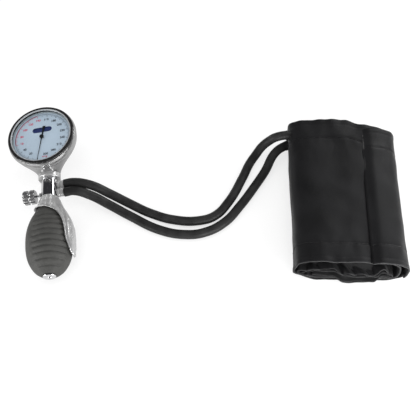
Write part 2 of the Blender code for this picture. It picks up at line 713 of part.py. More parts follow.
def roll_point(turn, depth):
    """Point of the flattened spiral after this many degrees of turn, this deep below its outermost face."""
    inward = depth + SHRINK_PER_TURN * max(0.0, turn - SHRINK_AFTER) / 360
    return oval_point(ROLL_START - turn, inward)


def oval_point(angle, inward):
    """Point of the flattened outline at this polar parameter, moved inwards. The lowest facet is z = 0."""
    cosine, sine = math.cos(math.radians(angle)), math.sin(math.radians(angle))
    power = 2 / ROLL_POWER
    half_facet = math.sin(math.radians(90 - ROLL_STEP / 2)) ** power
    x = (CUFF_HALF_WIDTH - inward) * math.copysign(abs(cosine) ** power, cosine)
    z = (CUFF_HALF_HEIGHT - inward) * math.copysign(abs(sine) ** power, sine)
    return x, z + CUFF_HALF_HEIGHT * half_facet


def band(name, path, thick_path, length, shift, slot, cuff):
    """A strip with the section between two polylines, as long as the roll."""
    section = path + list(reversed(thick_path))
    return flat_outline(name, [section], length, slot, cuff, (0, shift, 0), (90, 0, 0))


def turn_steps(first, last):
    """Multiples of the step that fall inside, with both ends."""
    count = round((last - first) / ROLL_STEP)
    return [first + (last - first) * i / count for i in range(count + 1)]


def rolled(name, first, last, depth, thick, length, shift, slot, cuff):
    outer = [roll_point(turn, depth) for turn in turn_steps(first, last)]
    inner = [roll_point(turn, depth + thick) for turn in turn_steps(first, last)]
    return band(name, outer, inner, length, shift, slot, cuff)


def folded_over(name, first, last, depth, thick, length, shift, slot, cuff):
    """A strip of the closing flap, which keeps its distance from the outline."""
    outer = [oval_point(angle, depth) for angle in turn_steps(first, last)]
    inner = [oval_point(angle, depth + thick) for angle in turn_steps(first, last)]
    return band(name, outer, inner, length, shift, slot, cuff)


def cuff_pieces(cuff):
    length = 2 * CUFF_HALF_LENGTH
    outer = rolled("cuff_outer_cloth_flat", 0, CLOTH_TURN, 0, CLOTH_THICK, length, CUFF_SHIFT, "cuff_nylon",
                   cuff)
    cloth = as_mesh(outer, "cuff_outer_cloth", cuff)
    rolled("cuff_lining", 10, CLOTH_TURN - 10, LINING_DEPTH, 1.2, length - 2, CUFF_SHIFT, "lining_cloth",
           cuff)
    rolled("cuff_bladder", 70, 360, CLOTH_THICK + 0.5, BLADDER_THICK, length - 24, 7.0, "bladder_rubber",
           cuff)
    folded_over("closing_flap", FLAP_FROM, FLAP_TO, 0, 1.5, FLAP_LENGTH, FLAP_SHIFT, "cuff_nylon", cuff)
    folded_over("hook_patch", 55, 75, 1.8, 0.6, FLAP_LENGTH - 30, FLAP_SHIFT, "fastener_tape", cuff)
    rolled("loop_patch", 258, 282, -0.9, 0.6, FLAP_LENGTH - 24, 0, "fastener_tape", cuff)
    for side, entry in (("upper", HOSE_ENTRY_UPPER), ("lower", HOSE_ENTRY_LOWER)):
        hose_entry(side, entry, cloth, cuff)


def hose_entry(side, entry, cloth, cuff):
    """A hole in the outer cloth, the ring on it, and the bladder's spigot that runs out into the hose."""
    y, z, tilt = entry
    outward = (0, -90, tilt)
    cut(cloth, cutter(f"entry_{side}", 2.6, -5.0, 8.0, cuff, (FOLD_X, y, z), outward))
    face = GROMMET_FACE
    middle_y = y - (face - GROMMET_THICK / 2) * math.tan(math.radians(tilt))
    turned(f"grommet_{side}", [
        (3.5, face), (4.6, face), (5.3, face - 0.6), (5.3, face - GROMMET_THICK), (3.5, face - GROMMET_THICK),
    ], "seal_rubber", cuff, (FOLD_X, middle_y, z), ALONG_MINUS_X, steps=18, ring=True)
    tip = hose_reach(tilt) + NIPPLE_GRIP
    root = -1.4
    turned(f"bladder_nipple_{side}", [
        (1.2, tip), (1.6, tip), (1.9, tip - 1.0), (1.9, root), (1.2, root),
    ], "bladder_rubber", cuff, (FOLD_X, y, z), outward, steps=12, ring=True)


clear_scene()
PARTS = new_collection("upper_arm_blood_pressure_monitor")
CUTTERS = new_collection("cutters")

UNIT = empty("unit", None, UNIT_PLACE, (0, UNIT_ROLL, 0))
GAUGE = empty("gauge_axis", UNIT, (0, DIAL_Y, 0))
CUFF = empty("cuff", None, (0, 0, 0), (0, 0, CUFF_TURN))
bpy.context.view_layer.update()

gauge_case(GAUGE)
window(GAUGE)
dial(GAUGE)
hand(GAUGE)
pinion(GAUGE)
sector(GAUGE)
movement(GAUGE)
capsule(GAUGE)
swivel(UNIT)
post(UNIT)
barb("hose_barb_gauge", UNIT, PORT_UPPER_Y)
barb("hose_barb_bulb", UNIT, PORT_LOWER_Y)
release_valve(UNIT)
outlet_valve(UNIT)
spoon(UNIT)
bulb(UNIT)
inlet_valve(UNIT)
hoses(UNIT, CUFF)
cuff_pieces(CUFF)
bpy.context.view_layer.update()
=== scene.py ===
"""Looks of the palm-type aneroid blood pressure monitor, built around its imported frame.

Shapes are worked out in millimetres in local frames that are read from the joints: PUMP has Y along the post
and Z along the dial's normal, GAUGE is the same frame moved to the dial's axis, POST, NEEDLE and port() have
Z along the thing they are named for, and CUFF has Y along the roll. Turned pieces take their outline from
the CAD node that they stand for, so they keep its size.
"""

import json
import math

import bmesh
import bpy
import numpy as np
from mathutils import Matrix, Vector, noise


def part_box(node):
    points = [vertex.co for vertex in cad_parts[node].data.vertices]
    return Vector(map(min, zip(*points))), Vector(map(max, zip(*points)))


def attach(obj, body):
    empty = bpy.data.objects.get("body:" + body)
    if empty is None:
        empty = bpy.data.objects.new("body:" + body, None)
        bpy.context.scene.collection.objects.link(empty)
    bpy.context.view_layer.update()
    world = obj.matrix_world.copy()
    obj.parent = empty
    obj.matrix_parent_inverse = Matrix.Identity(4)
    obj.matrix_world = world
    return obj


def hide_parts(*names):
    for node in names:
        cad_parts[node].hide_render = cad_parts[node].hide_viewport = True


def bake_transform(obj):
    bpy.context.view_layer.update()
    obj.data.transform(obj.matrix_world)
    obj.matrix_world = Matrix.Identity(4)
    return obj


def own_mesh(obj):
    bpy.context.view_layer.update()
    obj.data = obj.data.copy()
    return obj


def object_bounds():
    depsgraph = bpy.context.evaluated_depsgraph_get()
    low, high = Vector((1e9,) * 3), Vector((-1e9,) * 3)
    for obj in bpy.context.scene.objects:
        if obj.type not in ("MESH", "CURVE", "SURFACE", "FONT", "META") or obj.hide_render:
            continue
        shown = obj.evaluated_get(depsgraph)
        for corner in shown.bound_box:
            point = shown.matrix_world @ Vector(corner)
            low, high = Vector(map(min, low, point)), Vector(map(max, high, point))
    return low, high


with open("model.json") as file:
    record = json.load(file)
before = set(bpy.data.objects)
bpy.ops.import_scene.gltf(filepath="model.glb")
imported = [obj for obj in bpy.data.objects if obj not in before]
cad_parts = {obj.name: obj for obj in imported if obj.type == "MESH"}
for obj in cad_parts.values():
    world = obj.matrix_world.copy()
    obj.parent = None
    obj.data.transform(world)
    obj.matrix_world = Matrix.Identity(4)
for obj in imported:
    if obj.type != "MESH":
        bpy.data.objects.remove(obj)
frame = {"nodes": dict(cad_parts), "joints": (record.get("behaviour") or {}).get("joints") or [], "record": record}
CAD_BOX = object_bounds()
MM = 0.001
IN_PLANE = 0.02
CORNER_SHARE = 0.4
JOINTS = {joint["name"]: joint for joint in frame["joints"]}
SLOT_OF = {part["node"]: part["material_slot"] for part in frame["record"]["subparts"]}
BODY_OF = {node: body for body, nodes in frame["record"]["behaviour"]["bodies"].items() for node in nodes}


# ---- local frames ----


def local_frame(x, y, z, origin):
    """Millimetres along three unit axes from an origin in metres."""
    made = Matrix((x, y, z)).transposed().to_4x4()
    made.translation = origin
    return made @ Matrix.Scale(MM, 4)


def turn_about(axis, degrees):
    return Matrix.Rotation(math.radians(degrees), 4, axis)


def moved(x, y, z):
    return Matrix.Translation((x, y, z))


def extent(node, place):
    """A CAD node's lowest and highest corner in a local frame."""
    inverse = place.inverted()
    points = np.array([inverse @ vertex.co for vertex in frame["nodes"][node].data.vertices])
    return Vector(points.min(axis=0)), Vector(points.max(axis=0))


POST_AXIS = Vector(JOINTS["gauge_swivel"]["axis"])
DIAL_NORMAL = Vector(JOINTS["hand_turn"]["axis"])
SWIVEL = Vector(JOINTS["gauge_swivel"]["pos_m"])
POST_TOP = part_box("valve_body")[1].y
PUMP = local_frame(POST_AXIS.cross(DIAL_NORMAL), POST_AXIS, DIAL_NORMAL, (SWIVEL.x, POST_TOP, SWIVEL.z))
GAUGE = PUMP @ moved(0, (JOINTS["hand_turn"]["pos_m"][1] - POST_TOP) / MM, 0)
POST = PUMP @ turn_about("X", -90)
NEEDLE_Y = (JOINTS["knob_turn"]["pos_m"][1] - POST_TOP) / MM
NEEDLE = PUMP @ moved(0, NEEDLE_Y, 0) @ turn_about("Y", -90)
ROLL_AXIS = Vector(JOINTS["flap_open"]["axis"])
UP = Vector((0, 0, 1))
CUFF = local_frame(ROLL_AXIS.cross(UP), ROLL_AXIS, UP, (0, 0, 0))


def port(node):
    """The frame of a hose fitting, whose Z points out along the hose."""
    low, high = extent(node, PUMP)
    return PUMP @ moved(0, (low.y + high.y) / 2, 0) @ turn_about("Y", 90)


# ---- mesh building ----


def mesh_piece(name, points, faces, place):
    """A mesh object from points in a local frame, welded and with its faces pointing out."""
    shape = bmesh.new()
    vertices = [shape.verts.new(place @ Vector(point)) for point in points]
    for face in faces:
        shape.faces.new([vertices[i] for i in face])
    bmesh.ops.remove_doubles(shape, verts=shape.verts, dist=0.00001)
    bmesh.ops.recalc_face_normals(shape, faces=shape.faces)
    return from_bmesh(name, shape)


def from_bmesh(name, shape):
    mesh = bpy.data.meshes.new(name)
    shape.to_mesh(mesh)
    shape.free()
    obj = bpy.data.objects.new(name, mesh)
    bpy.context.scene.collection.objects.link(obj)
    return obj


def bake(obj):
    """Applies the modifiers by swapping in the evaluated mesh."""
    bpy.context.view_layer.update()
    graph = bpy.context.evaluated_depsgraph_get()
    mesh = bpy.data.meshes.new_from_object(obj.evaluated_get(graph))
    made = bpy.data.objects.new(obj.name, mesh)
    bpy.data.objects.remove(obj, do_unlink=True)
    made.name = mesh.name.split(".")[0]
    bpy.context.scene.collection.objects.link(made)
    return made


def thicken(obj, thickness, offset=-1.0):
    shell = obj.modifiers.new("Thickness", "SOLIDIFY")
    shell.thickness = thickness * MM
    shell.offset = offset
    return obj


def grid_faces(rows, columns, wrap=False):
    """Quads between the points of a grid stored row by row. Wrapped rows close on themselves."""
    faces = []
    for row in range(rows - 1):
        for column in range(columns if wrap else columns - 1):
            beside = (column + 1) % columns
            faces.append((row * columns + column, row * columns + beside,
                          (row + 1) * columns + beside, (row + 1) * columns + column))
    return faces


def lathe(name, profile, place, steps=96, ring=False, shape=None):
    """Turns (radius, height) points about local Z. shape(radius, height, angle) may change the radius."""
    rows = profile + profile[:1] if ring else profile
    points = []
    for radius, height in rows:
        for step in range(steps):
            angle = math.tau * step / steps
            r = shape(radius, height, angle) if shape else radius
            points.append((r * math.cos(angle), r * math.sin(angle), height))
    return mesh_piece(name, points, grid_faces(len(rows), steps, wrap=True), place)


def cad_profile(node, place):
    """The outline of a turned CAD node in the half plane through local +X, and whether it is closed."""
    inverse = place.inverted()
    mesh = frame["nodes"][node].data
    keys = []
    for vertex in mesh.vertices:
        x, y, z = inverse @ vertex.co
        keys.append((round(x, 2), round(z, 2)) if abs(y) < IN_PLANE and x > -IN_PLANE else None)
    links = {}
    for edge in mesh.edges:
        a, b = (keys[i] for i in edge.vertices)
        if a and b and a != b:
            links.setdefault(a, set()).add(b)
            links.setdefault(b, set()).add(a)
    ends = sorted(key for key, near in links.items() if len(near) == 1)
    path = [ends[0] if ends else min(links)]
    while True:
        onward = sorted(key for key in links[path[-1]] if key not in path)
        if not onward:
            break
        path.append(onward[0])
    if ends:
        path = [(0.0, path[0][1])] + path + [(0.0, path[-1][1])]
    return path, not ends


def rounded(profile, radius, ring, steps=4):
    """Rounds each corner by at most this much, and at most CORNER_SHARE of the shorter side beside it."""
    points = [Vector(point) for point in profile]
    made = []
    for i, corner in enumerate(points):
        if not ring and i in (0, len(points) - 1):
            made.append(tuple(corner))
            continue
        before = points[i - 1] - corner
        after = points[(i + 1) % len(points)] - corner
        reach = min(radius, before.length * CORNER_SHARE, after.length * CORNER_SHARE)
        start = corner + before.normalized() * reach
        end = corner + after.normalized() * reach
        for step in range(steps + 1):
            t = step / steps
            made.append(tuple(start * (1 - t) ** 2 + corner * 2 * t * (1 - t) + end * t * t))
    return made


def chaikin(profile, rounds):
    """Cuts the corners of a closed outline again and again, which leaves a smooth curve."""
    for _ in range(rounds):
        cut = []
        for (x0, y0), (x1, y1) in zip(profile, profile[1:] + profile[:1]):
            cut.append((x0 * 0.75 + x1 * 0.25, y0 * 0.75 + y1 * 0.25))
            cut.append((x0 * 0.25 + x1 * 0.75, y0 * 0.25 + y1 * 0.75))
        profile = cut
    return profile


def resampled(profile, spacing):
    """Even points along a closed outline."""
    loop = np.array(profile + profile[:1])
    length = np.concatenate([[0], np.cumsum(np.hypot(*np.diff(loop, axis=0).T))])
    even = np.linspace(0, length[-1], int(length[-1] / spacing), endpoint=False)
    return list(zip(np.interp(even, length, loop[:, 0]), np.interp(even, length, loop[:, 1])))


def smoothstep(value, low, high):
    t = min(1.0, max(0.0, (value - low) / (high - low)))
    return t * t * (3 - 2 * t)


def bell(value, width):
    return math.exp(-((value / width) ** 2))


def wavy(x, y, z=0.0):
    """Smooth noise from -1 to 1 over coordinates in units of its own wavelength."""
    return noise.noise(Vector((x, y, z)))


# ---- handing pieces to the frame ----


def smooth(obj, sharp=32):
    obj.data.shade_smooth()
    obj.data.set_sharp_from_angle(angle=math.radians(sharp))
    return obj


def dress(obj, look):
    obj.data.materials.clear()
    obj.data.materials.append(look)
    return obj


def stand_in(obj, node, look=None, sharp=32, body=None):
    """The piece takes a CAD node's place: the material of its slot unless given a look, and, unless told
    otherwise, its body.
    """
    slot = SLOT_OF[node]
    dress(obj, look or LOOKS[slot])
    smooth(obj, sharp)
    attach(obj, body or BODY_OF[node])
    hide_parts(node)
    return obj


def extra(obj, body, slot, look=None, sharp=32):
    """A piece that stands for no CAD node, such as print, a liner or stitching."""
    dress(obj, look or LOOKS[slot])
    smooth(obj, sharp)
    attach(obj, body)
    return obj


def refine(node, place, corner=0.35, steps=72, shape=None, look=None):
    """Turns a CAD node's own outline again, with fine steps and rounded edges."""
    profile, ring = cad_profile(node, place)
    obj = lathe(node + "_turned", rounded(profile, corner, ring), place, steps, ring, shape)
    return stand_in(obj, node, look)


# ---- materials ----


class Look:
    """A Principled material and short ways to wire procedural nodes into it."""

    def __init__(self, name, coordinate="Object"):
        self.material = bpy.data.materials.new(name)
        self.material.use_nodes = True
        self.tree = self.material.node_tree
        self.surface = self.tree.nodes["Principled BSDF"]
        self.place = self.tree.nodes.new("ShaderNodeTexCoord").outputs[coordinate]

    def node(self, kind, inputs=None, **settings):
        made = self.tree.nodes.new(kind)
        for key, value in settings.items():
            setattr(made, key, value)
        for key, value in (inputs or {}).items():
            self.feed(made.inputs[key], value)
        return made

    def feed(self, socket, value):
        if isinstance(value, bpy.types.NodeSocket):
            self.tree.links.new(value, socket)
        else:
            socket.default_value = value

    def set(self, **inputs):
        for key, value in inputs.items():
            self.feed(self.surface.inputs[key.replace("_", " ")], value)
        return self

    def noise(self, size, detail=3.0, stretch=(1, 1, 1)):
        """Noise whose features are about this many millimetres across."""
        place = self.node("ShaderNodeMapping", {"Vector": self.place, "Scale": stretch}).outputs[0]
        inputs = {"Vector": place, "Scale": 1 / (size * MM), "Detail": detail}
        return self.node("ShaderNodeTexNoise", inputs).outputs[0]

    def between(self, value, low, high, start=0.35, end=0.65):
        """Maps a noise value onto a range."""
        return self.node("ShaderNodeMapRange", {"Value": value, "From Min": start, "From Max": end,
                                                "To Min": low, "To Max": high}).outputs[0]

    def tint(self, value, dark, light, start=0.35, end=0.65):
        return self.mix(self.between(value, 0.0, 1.0, start, end), (*dark, 1), (*light, 1))

    def mix(self, share, a, b):
        return self.node("ShaderNodeMixRGB", {"Fac": share, "Color1": a, "Color2": b}).outputs[0]

    def math(self, operation, a, b=0.5):
        made = self.node("ShaderNodeMath", operation=operation)
        self.feed(made.inputs[0], a)
        self.feed(made.inputs[1], b)
        return made.outputs[0]

    def bump(self, height, depth, strength=1.0):
        """Bump of this depth in millimetres."""
        made = self.node("ShaderNodeBump", {"Height": height, "Strength": strength, "Distance": depth * MM})
        self.feed(self.surface.inputs["Normal"], made.outputs[0])
        return self


def bright_metal():
    look = Look("bright_metal")
    smudge = look.noise(6, 5)
    ripple = look.noise(9, 1)
    look.set(Metallic=1.0, Base_Color=look.tint(smudge, (0.7, 0.7, 0.71), (0.8, 0.8, 0.81)),
             Roughness=look.between(smudge, 0.05, 0.13))
    return look.bump(ripple, 0.03).material


def black_ring():
    look = Look("black_ring")
    dust = look.noise(3, 5)
    look.set(Base_Color=look.tint(dust, (0.012, 0.012, 0.012), (0.02, 0.02, 0.02)),
             Roughness=look.between(dust, 0.2, 0.3), Coat_Weight=0.6, Coat_Roughness=0.08)
    return look.bump(look.noise(0.8, 2), 0.01).material


def window():
    """Clear glass: a thin reflection over a transparent layer, so that light falls on the dial unhindered."""
    look = Look("window")
    out = look.tree.nodes["Material Output"]
    look.tree.nodes.remove(look.surface)
    smear = look.between(look.noise(8, 4), 0.02, 0.07)
    fresnel = look.node("ShaderNodeFresnel", {"IOR": 1.45}).outputs[0]
    front = look.math("SUBTRACT", 1.0, look.node("ShaderNodeNewGeometry").outputs["Backfacing"])
    gloss = look.node("ShaderNodeBsdfGlossy", {"Color": (1, 1, 1, 1), "Roughness": smear})
    clear = look.node("ShaderNodeBsdfTransparent", {"Color": (0.93, 0.96, 0.97, 1)})
    pane = look.node("ShaderNodeMixShader", {"Fac": look.math("MULTIPLY", fresnel, front)})
    look.tree.links.new(clear.outputs[0], pane.inputs[1])
    look.tree.links.new(gloss.outputs[0], pane.inputs[2])
    look.tree.links.new(pane.outputs[0], out.inputs["Surface"])
    return look.material


def dial_white():
    look = Look("dial_white")
    grain = look.noise(0.6, 3)
    look.set(Base_Color=look.tint(grain, (0.5, 0.545, 0.62), (0.56, 0.6, 0.68)), Roughness=0.5)
    return look.bump(grain, 0.01).material


def ink(name, colour):
    look = Look(name)
    dots = look.noise(0.3, 2)
    pale = tuple(min(1.0, c * 1.3 + 0.01) for c in colour)
    look.set(Base_Color=look.tint(dots, colour, pale), Roughness=0.55)
    return look.material


def hand_black():
    look = Look("hand_black")
    look.set(Base_Color=look.tint(look.noise(2, 3), (0.01, 0.01, 0.01), (0.02, 0.02, 0.02)), Roughness=0.4)
    return look.material


def brass(name, dark, light, roughness):
    look = Look(name)
    brushed = look.noise(1.2, 4, (1, 12, 1))
    look.set(Metallic=1.0, Base_Color=look.tint(look.noise(4, 4), dark, light),
             Roughness=look.between(brushed, roughness - 0.06, roughness + 0.08))
    return look.bump(brushed, 0.008).material


def rubber(name, dark, light, roughness, mottle=7.0):
    """Moulded rubber: slow mottling and a fine skin."""
    look = Look(name)
    cloud = look.noise(mottle, 5)
    skin = look.noise(0.35, 3)
    look.set(Base_Color=look.tint(cloud, dark, light), Specular_IOR_Level=0.35,
             Roughness=look.between(skin, roughness, roughness + 0.12))
    return look.bump(skin, 0.02).material


def woven(name, dark, light, thread, roughness, sheen):
    """Plain weave in UV millimetres, with slow changes of tone where the cloth is rubbed."""
    look = Look(name, "UV")
    waves = []
    for direction in ("X", "Y"):
        wave = look.node("ShaderNodeTexWave", {"Vector": look.place, "Scale": math.tau / (20 * thread),
                                               "Distortion": 0.6, "Detail": 1.0}, bands_direction=direction)
        waves.append(wave.outputs["Fac"])
    weave = look.math("MULTIPLY", waves[0], waves[1])
    rubbed = look.node("ShaderNodeTexNoise", {"Vector": look.place, "Scale": 0.03, "Detail": 5.0}).outputs[0]
    base = look.tint(rubbed, dark, light)
    look.set(Base_Color=look.mix(look.between(weave, 0.0, 0.25, 0.0, 1.0), base, (*light, 1)),
             Roughness=look.between(rubbed, roughness - 0.05, roughness + 0.08),
             Sheen_Weight=sheen, Sheen_Roughness=0.45, Specular_IOR_Level=0.3)
    return look.bump(weave, 0.05, 0.7).material


def fastener_tape():
    look = Look("fastener_tape", "UV")
    fuzz = look.node("ShaderNodeTexVoronoi", {"Vector": look.place, "Scale": 1.4}).outputs["Distance"]
    look.set(Base_Color=look.tint(fuzz, (0.006, 0.006, 0.006), (0.03, 0.03, 0.03), 0.1, 0.7), Roughness=0.9,
             Sheen_Weight=0.5)
    return look.bump(fuzz, 0.4).material


def thread_black():
    look = Look("thread_black")
    twist = look.noise(0.3, 2, (3, 1, 1))
    look.set(Base_Color=look.tint(twist, (0.006, 0.006, 0.0065), (0.016, 0.016, 0.017)), Roughness=0.55)
    return look.bump(twist, 0.05).material


LOOKS = {
    "bright_metal": bright_metal(),
    "black_ring": black_ring(),
    "window": window(),
    "dial_white": dial_white(),
    "hand_black": hand_black(),
    "movement_brass": brass("movement_brass", (0.55, 0.4, 0.17), (0.72, 0.54, 0.26), 0.3),
    "spring_bronze": brass("spring_bronze", (0.45, 0.28, 0.14), (0.58, 0.38, 0.2), 0.28),
    "seal_rubber": rubber("seal_rubber", (0.012, 0.012, 0.012), (0.024, 0.024, 0.024), 0.6),
    "bulb_rubber": rubber("bulb_rubber", (0.045, 0.045, 0.0425), (0.058, 0.0575, 0.054), 0.55),
    "hose_rubber": rubber("hose_rubber", (0.012, 0.012, 0.012), (0.022, 0.022, 0.022), 0.42, 12),
    "cuff_nylon": woven("cuff_nylon", (0.0055, 0.0055, 0.006), (0.009, 0.009, 0.01), 0.5, 0.5, 0.07),
    "lining_cloth": woven("lining_cloth", (0.006, 0.006, 0.0065), (0.0095, 0.0095, 0.01), 0.7, 0.7, 0.05),
    "bladder_rubber": rubber("bladder_rubber", (0.02, 0.02, 0.02), (0.035, 0.035, 0.035), 0.5, 10),
    "fastener_tape": fastener_tape(),
}
DARK_INK = ink("dark_ink", (0.03, 0.03, 0.04))
RED_INK = ink("red_ink", (0.55, 0.04, 0.09))
BLUE_INK = ink("blue_ink", (0.012, 0.022, 0.11))
THREAD = thread_black()


# ---- gauge head ----

DIAL_TOP = extent("dial_plate", GAUGE)[1].z
RING_LOW, RING_HIGH = extent("bezel_ring", GAUGE)
CASE_LOW, CASE_HIGH = extent("gauge_case", GAUGE)
COLLAR_LOW, COLLAR_HIGH = extent("swivel_collar", GAUGE)
SHOULDER_DROP = 7.9
SHOULDER_SWELL = 1.1
SHOULDER_LEVELS = (0.0, 0.08, 0.18, 0.3, 0.45, 0.6, 0.8, 0.92)
CASE_AROUND, CASE_STAGES = 120, 30
# The loft's pull down from the rim near the post, what the far side adds, and its pull along the neck
DROP_NEAR, DROP_MORE, NECK_REACH = 3, 19, 30
CASE_WALL = 1.4
COLLAR_STEP = 0.55
PRINT_LIFT = 0.03
PRINT_THICK = 0.03
SCALE_TOP = 300
SCALE_SWEEP = 340.0
SCALE_GAP = 20.0
TICK_OUTER_R = 26.4
NUMBER_R = 20.8
NUMBER_SIZE = 3.3
UNIT = ("mmHg", 2.6, -23.2, 1.9)
BAR_HALF_LENGTH, BAR_HALF_HEIGHT, BAR_Y = 9.75, 2.9, 8.7
RED_FROM, RED_TO = 60, 140


def bezier(a, b, c, d, t):
    s = 1 - t
    return a * s**3 + b * 3 * s * s * t + c * 3 * s * t * t + d * t**3


def gauge_case():
    """Scoop shell: a rounded shoulder under the ring, then a loft that bends to the round neck."""
    rim_r, neck_r = CASE_HIGH.x, COLLAR_HIGH.x
    shoulder_low = CASE_HIGH.z - SHOULDER_DROP
    turns = [math.tau * k / CASE_AROUND for k in range(CASE_AROUND)]
    rows = []
    for level in SHOULDER_LEVELS:
        r = rim_r + SHOULDER_SWELL * math.sin(math.pi * level)
        z = CASE_HIGH.z - SHOULDER_DROP * level
        rows.append([(r * math.cos(turn), r * math.sin(turn), z) for turn in turns])
    for stage in range(CASE_STAGES + 1):
        row = []
        for turn in turns:
            cosine, sine = math.cos(turn), math.sin(turn)
            share = (1 + sine) / 2
            rim = Vector((rim_r * cosine, rim_r * sine, shoulder_low))
            neck = Vector((neck_r * cosine, CASE_LOW.y, -neck_r * sine))
            drop = Vector((0, 0, -DROP_NEAR - DROP_MORE * share))
            lead = Vector((0, NECK_REACH * share * share, 0))
            row.append(bezier(rim, rim + drop, neck + lead, neck, stage / CASE_STAGES))
        rows.append(row)
    points = [point for row in rows for point in row]
    case = mesh_piece("gauge_case_shell", points, grid_faces(len(rows), CASE_AROUND, wrap=True), GAUGE)
    thicken(case, CASE_WALL)
    stand_in(case, "gauge_case", CASE_METAL)


def pale_rings():
    """Two pale rings: one round the dial under the window, and one up the inner wall of the black ring."""
    low, high = DIAL_TOP + 0.1, extent("crystal_gasket", GAUGE)[0].z - 0.05
    profile = [(29.7, high), (30.4, high), (30.4, low), (28.4, low), (28.4, low + 0.2)]
    surround = lathe("dial_surround", rounded(profile, 0.1, True), GAUGE, 120, True)
    extra(surround, "gauge_head", "satin_metal", PALE_CONE)
    top = RING_HIGH.z
    low = extent("crystal", GAUGE)[1].z + 0.05
    profile = [(28.9, low), (29.2, low + 0.9), (29.7, top - 0.2), (29.9, top + 0.06), (30.1, top + 0.06),
               (30.1, top - 0.3), (30.1, top - 0.6), (29.9, low)]
    liner = lathe("bezel_liner", chaikin(profile, 2), GAUGE, 120, True)
    extra(liner, "gauge_head", "satin_metal", PALE_CONE)


def cast_metal(name, metallic, dark, light, roughness):
    """Plated casting: part mirror and part soft grey, with faint polishing marks."""
    look = Look(name)
    marks = look.noise(10, 4)
    look.set(Metallic=metallic, Base_Color=look.tint(marks, (dark,) * 3, (light,) * 3),
             Roughness=look.between(marks, roughness - 0.03, roughness + 0.05))
    return look.bump(look.noise(9, 1), 0.006).material


CASE_METAL = cast_metal("case_metal", 0.8, 0.36, 0.43, 0.18)
SPOON_METAL = cast_metal("spoon_metal", 0.55, 0.46, 0.53, 0.24)
COLLAR_METAL = cast_metal("collar_metal", 0.6, 0.5, 0.57, 0.3)
KNOB_METAL = cast_metal("knob_metal", 0.9, 0.6, 0.7, 0.16)


def pale_cone():
    look = Look("pale_cone")
    look.set(Base_Color=look.tint(look.noise(3, 3), (0.38, 0.4, 0.42), (0.46, 0.48, 0.5)), Roughness=0.35,
             Metallic=0.3)
    return look.material


PALE_CONE = pale_cone()


def scale_direction(value):
    """Unit vector towards a value, clockwise from the middle of the gap at six o'clock."""
    turn = math.radians(SCALE_GAP / 2 + SCALE_SWEEP * value / SCALE_TOP)
    return Vector((-math.sin(turn), -math.cos(turn), 0))


def printed(name, outlines, look):
    """Flat shapes printed on the dial, as one piece. Each outline is a list of (x, y)."""
    points, faces = [], []
    for outline in outlines:
        faces.append(list(range(len(points), len(points) + len(outline))))
        points += [(x, y, DIAL_TOP + PRINT_LIFT) for x, y in outline]
    shape = bmesh.new()
    vertices = [shape.verts.new(GAUGE @ Vector(point)) for point in points]
    for face in faces:
        shape.faces.new([vertices[i] for i in face])
    bmesh.ops.recalc_face_normals(shape, faces=shape.faces)
    obj = from_bmesh(name, shape)
    thicken(obj, PRINT_THICK, 1.0)
    extra(obj, "gauge_head", "dial_white", look)


def tick(value):
    along = scale_direction(value)
    across = Vector((-along.y, along.x, 0))
    if value % 20 == 0:
        inner, half = TICK_OUTER_R - 2.2, 0.22
    elif value % 10 == 0:
        inner, half = TICK_OUTER_R - 1.7, 0.15
    else:
        inner, half = TICK_OUTER_R - 0.9, 0.08
    corners = ((inner, -half), (TICK_OUTER_R, -half), (TICK_OUTER_R, half), (inner, half))
    return [tuple((along * r + across * s).xy) for r, s in corners]


def arc(inner, outer, start, end, step=2.0):
    """Outlines of a circular band between two values of the scale."""
    count = max(1, round((end - start) / step))
    values = [start + (end - start) * i / count for i in range(count + 1)]
    return [[tuple((scale_direction(v) * r).xy) for v, r in ((a, inner), (a, outer), (b, outer), (b, inner))]
            for a, b in zip(values, values[1:])]


def lettering(name, words, look):
    """Words as one flat piece. Each is (text, x, y, height)."""
    shape = bmesh.new()
    for text, x, y, size in words:
        curve = bpy.data.curves.new(name, "FONT")
        curve.body = text
        curve.size = size
        curve.align_x, curve.align_y = "CENTER", "CENTER"
        curve.extrude = PRINT_THICK / 2
        curve.offset = 0.035 * size
        holder = bpy.data.objects.new(name, curve)
        bpy.context.scene.collection.objects.link(holder)
        bpy.context.view_layer.update()
        mesh = bpy.data.meshes.new_from_object(holder.evaluated_get(bpy.context.evaluated_depsgraph_get()))
        mesh.transform(GAUGE @ moved(x, y, DIAL_TOP + PRINT_LIFT + PRINT_THICK / 2))
        shape.from_mesh(mesh)
        bpy.data.objects.remove(holder, do_unlink=True)
    bmesh.ops.remove_doubles(shape, verts=shape.verts, dist=0.000001)
    extra(from_bmesh(name, shape), "gauge_head", "dial_white", look)


def dial_print():
    reds = [tick(value) for value in range(RED_FROM, RED_TO + 1, 2)]
    darks = [tick(value) for value in range(0, SCALE_TOP + 1, 2) if not RED_FROM <= value <= RED_TO]
    outer_circle = arc(TICK_OUTER_R + 0.45, TICK_OUTER_R + 0.75, -5, SCALE_TOP + 12)
    printed("scale_dark", darks + outer_circle, DARK_INK)
    printed("scale_red", reds + arc(TICK_OUTER_R - 0.05, TICK_OUTER_R + 0.45, RED_FROM, RED_TO), RED_INK)
    words = {"dark": [], "red": []}
    for value in range(20, SCALE_TOP + 1, 20):
        place = scale_direction(value) * NUMBER_R
        colour = "red" if RED_FROM <= value <= RED_TO else "dark"
        words[colour].append((str(value), place.x, place.y, NUMBER_SIZE))
    lettering("numbers_dark", words["dark"], DARK_INK)
    lettering("numbers_red", words["red"] + [UNIT], RED_INK)
    bar = []
    for side in (1, -1):
        for step in range(13):
            turn = math.radians(-90 + 15 * step)
            bar.append((side * (BAR_HALF_LENGTH - BAR_HALF_HEIGHT + BAR_HALF_HEIGHT * math.cos(turn)),
                        BAR_Y + side * BAR_HALF_HEIGHT * math.sin(turn)))
    printed("dial_bar", [bar], BLUE_INK)


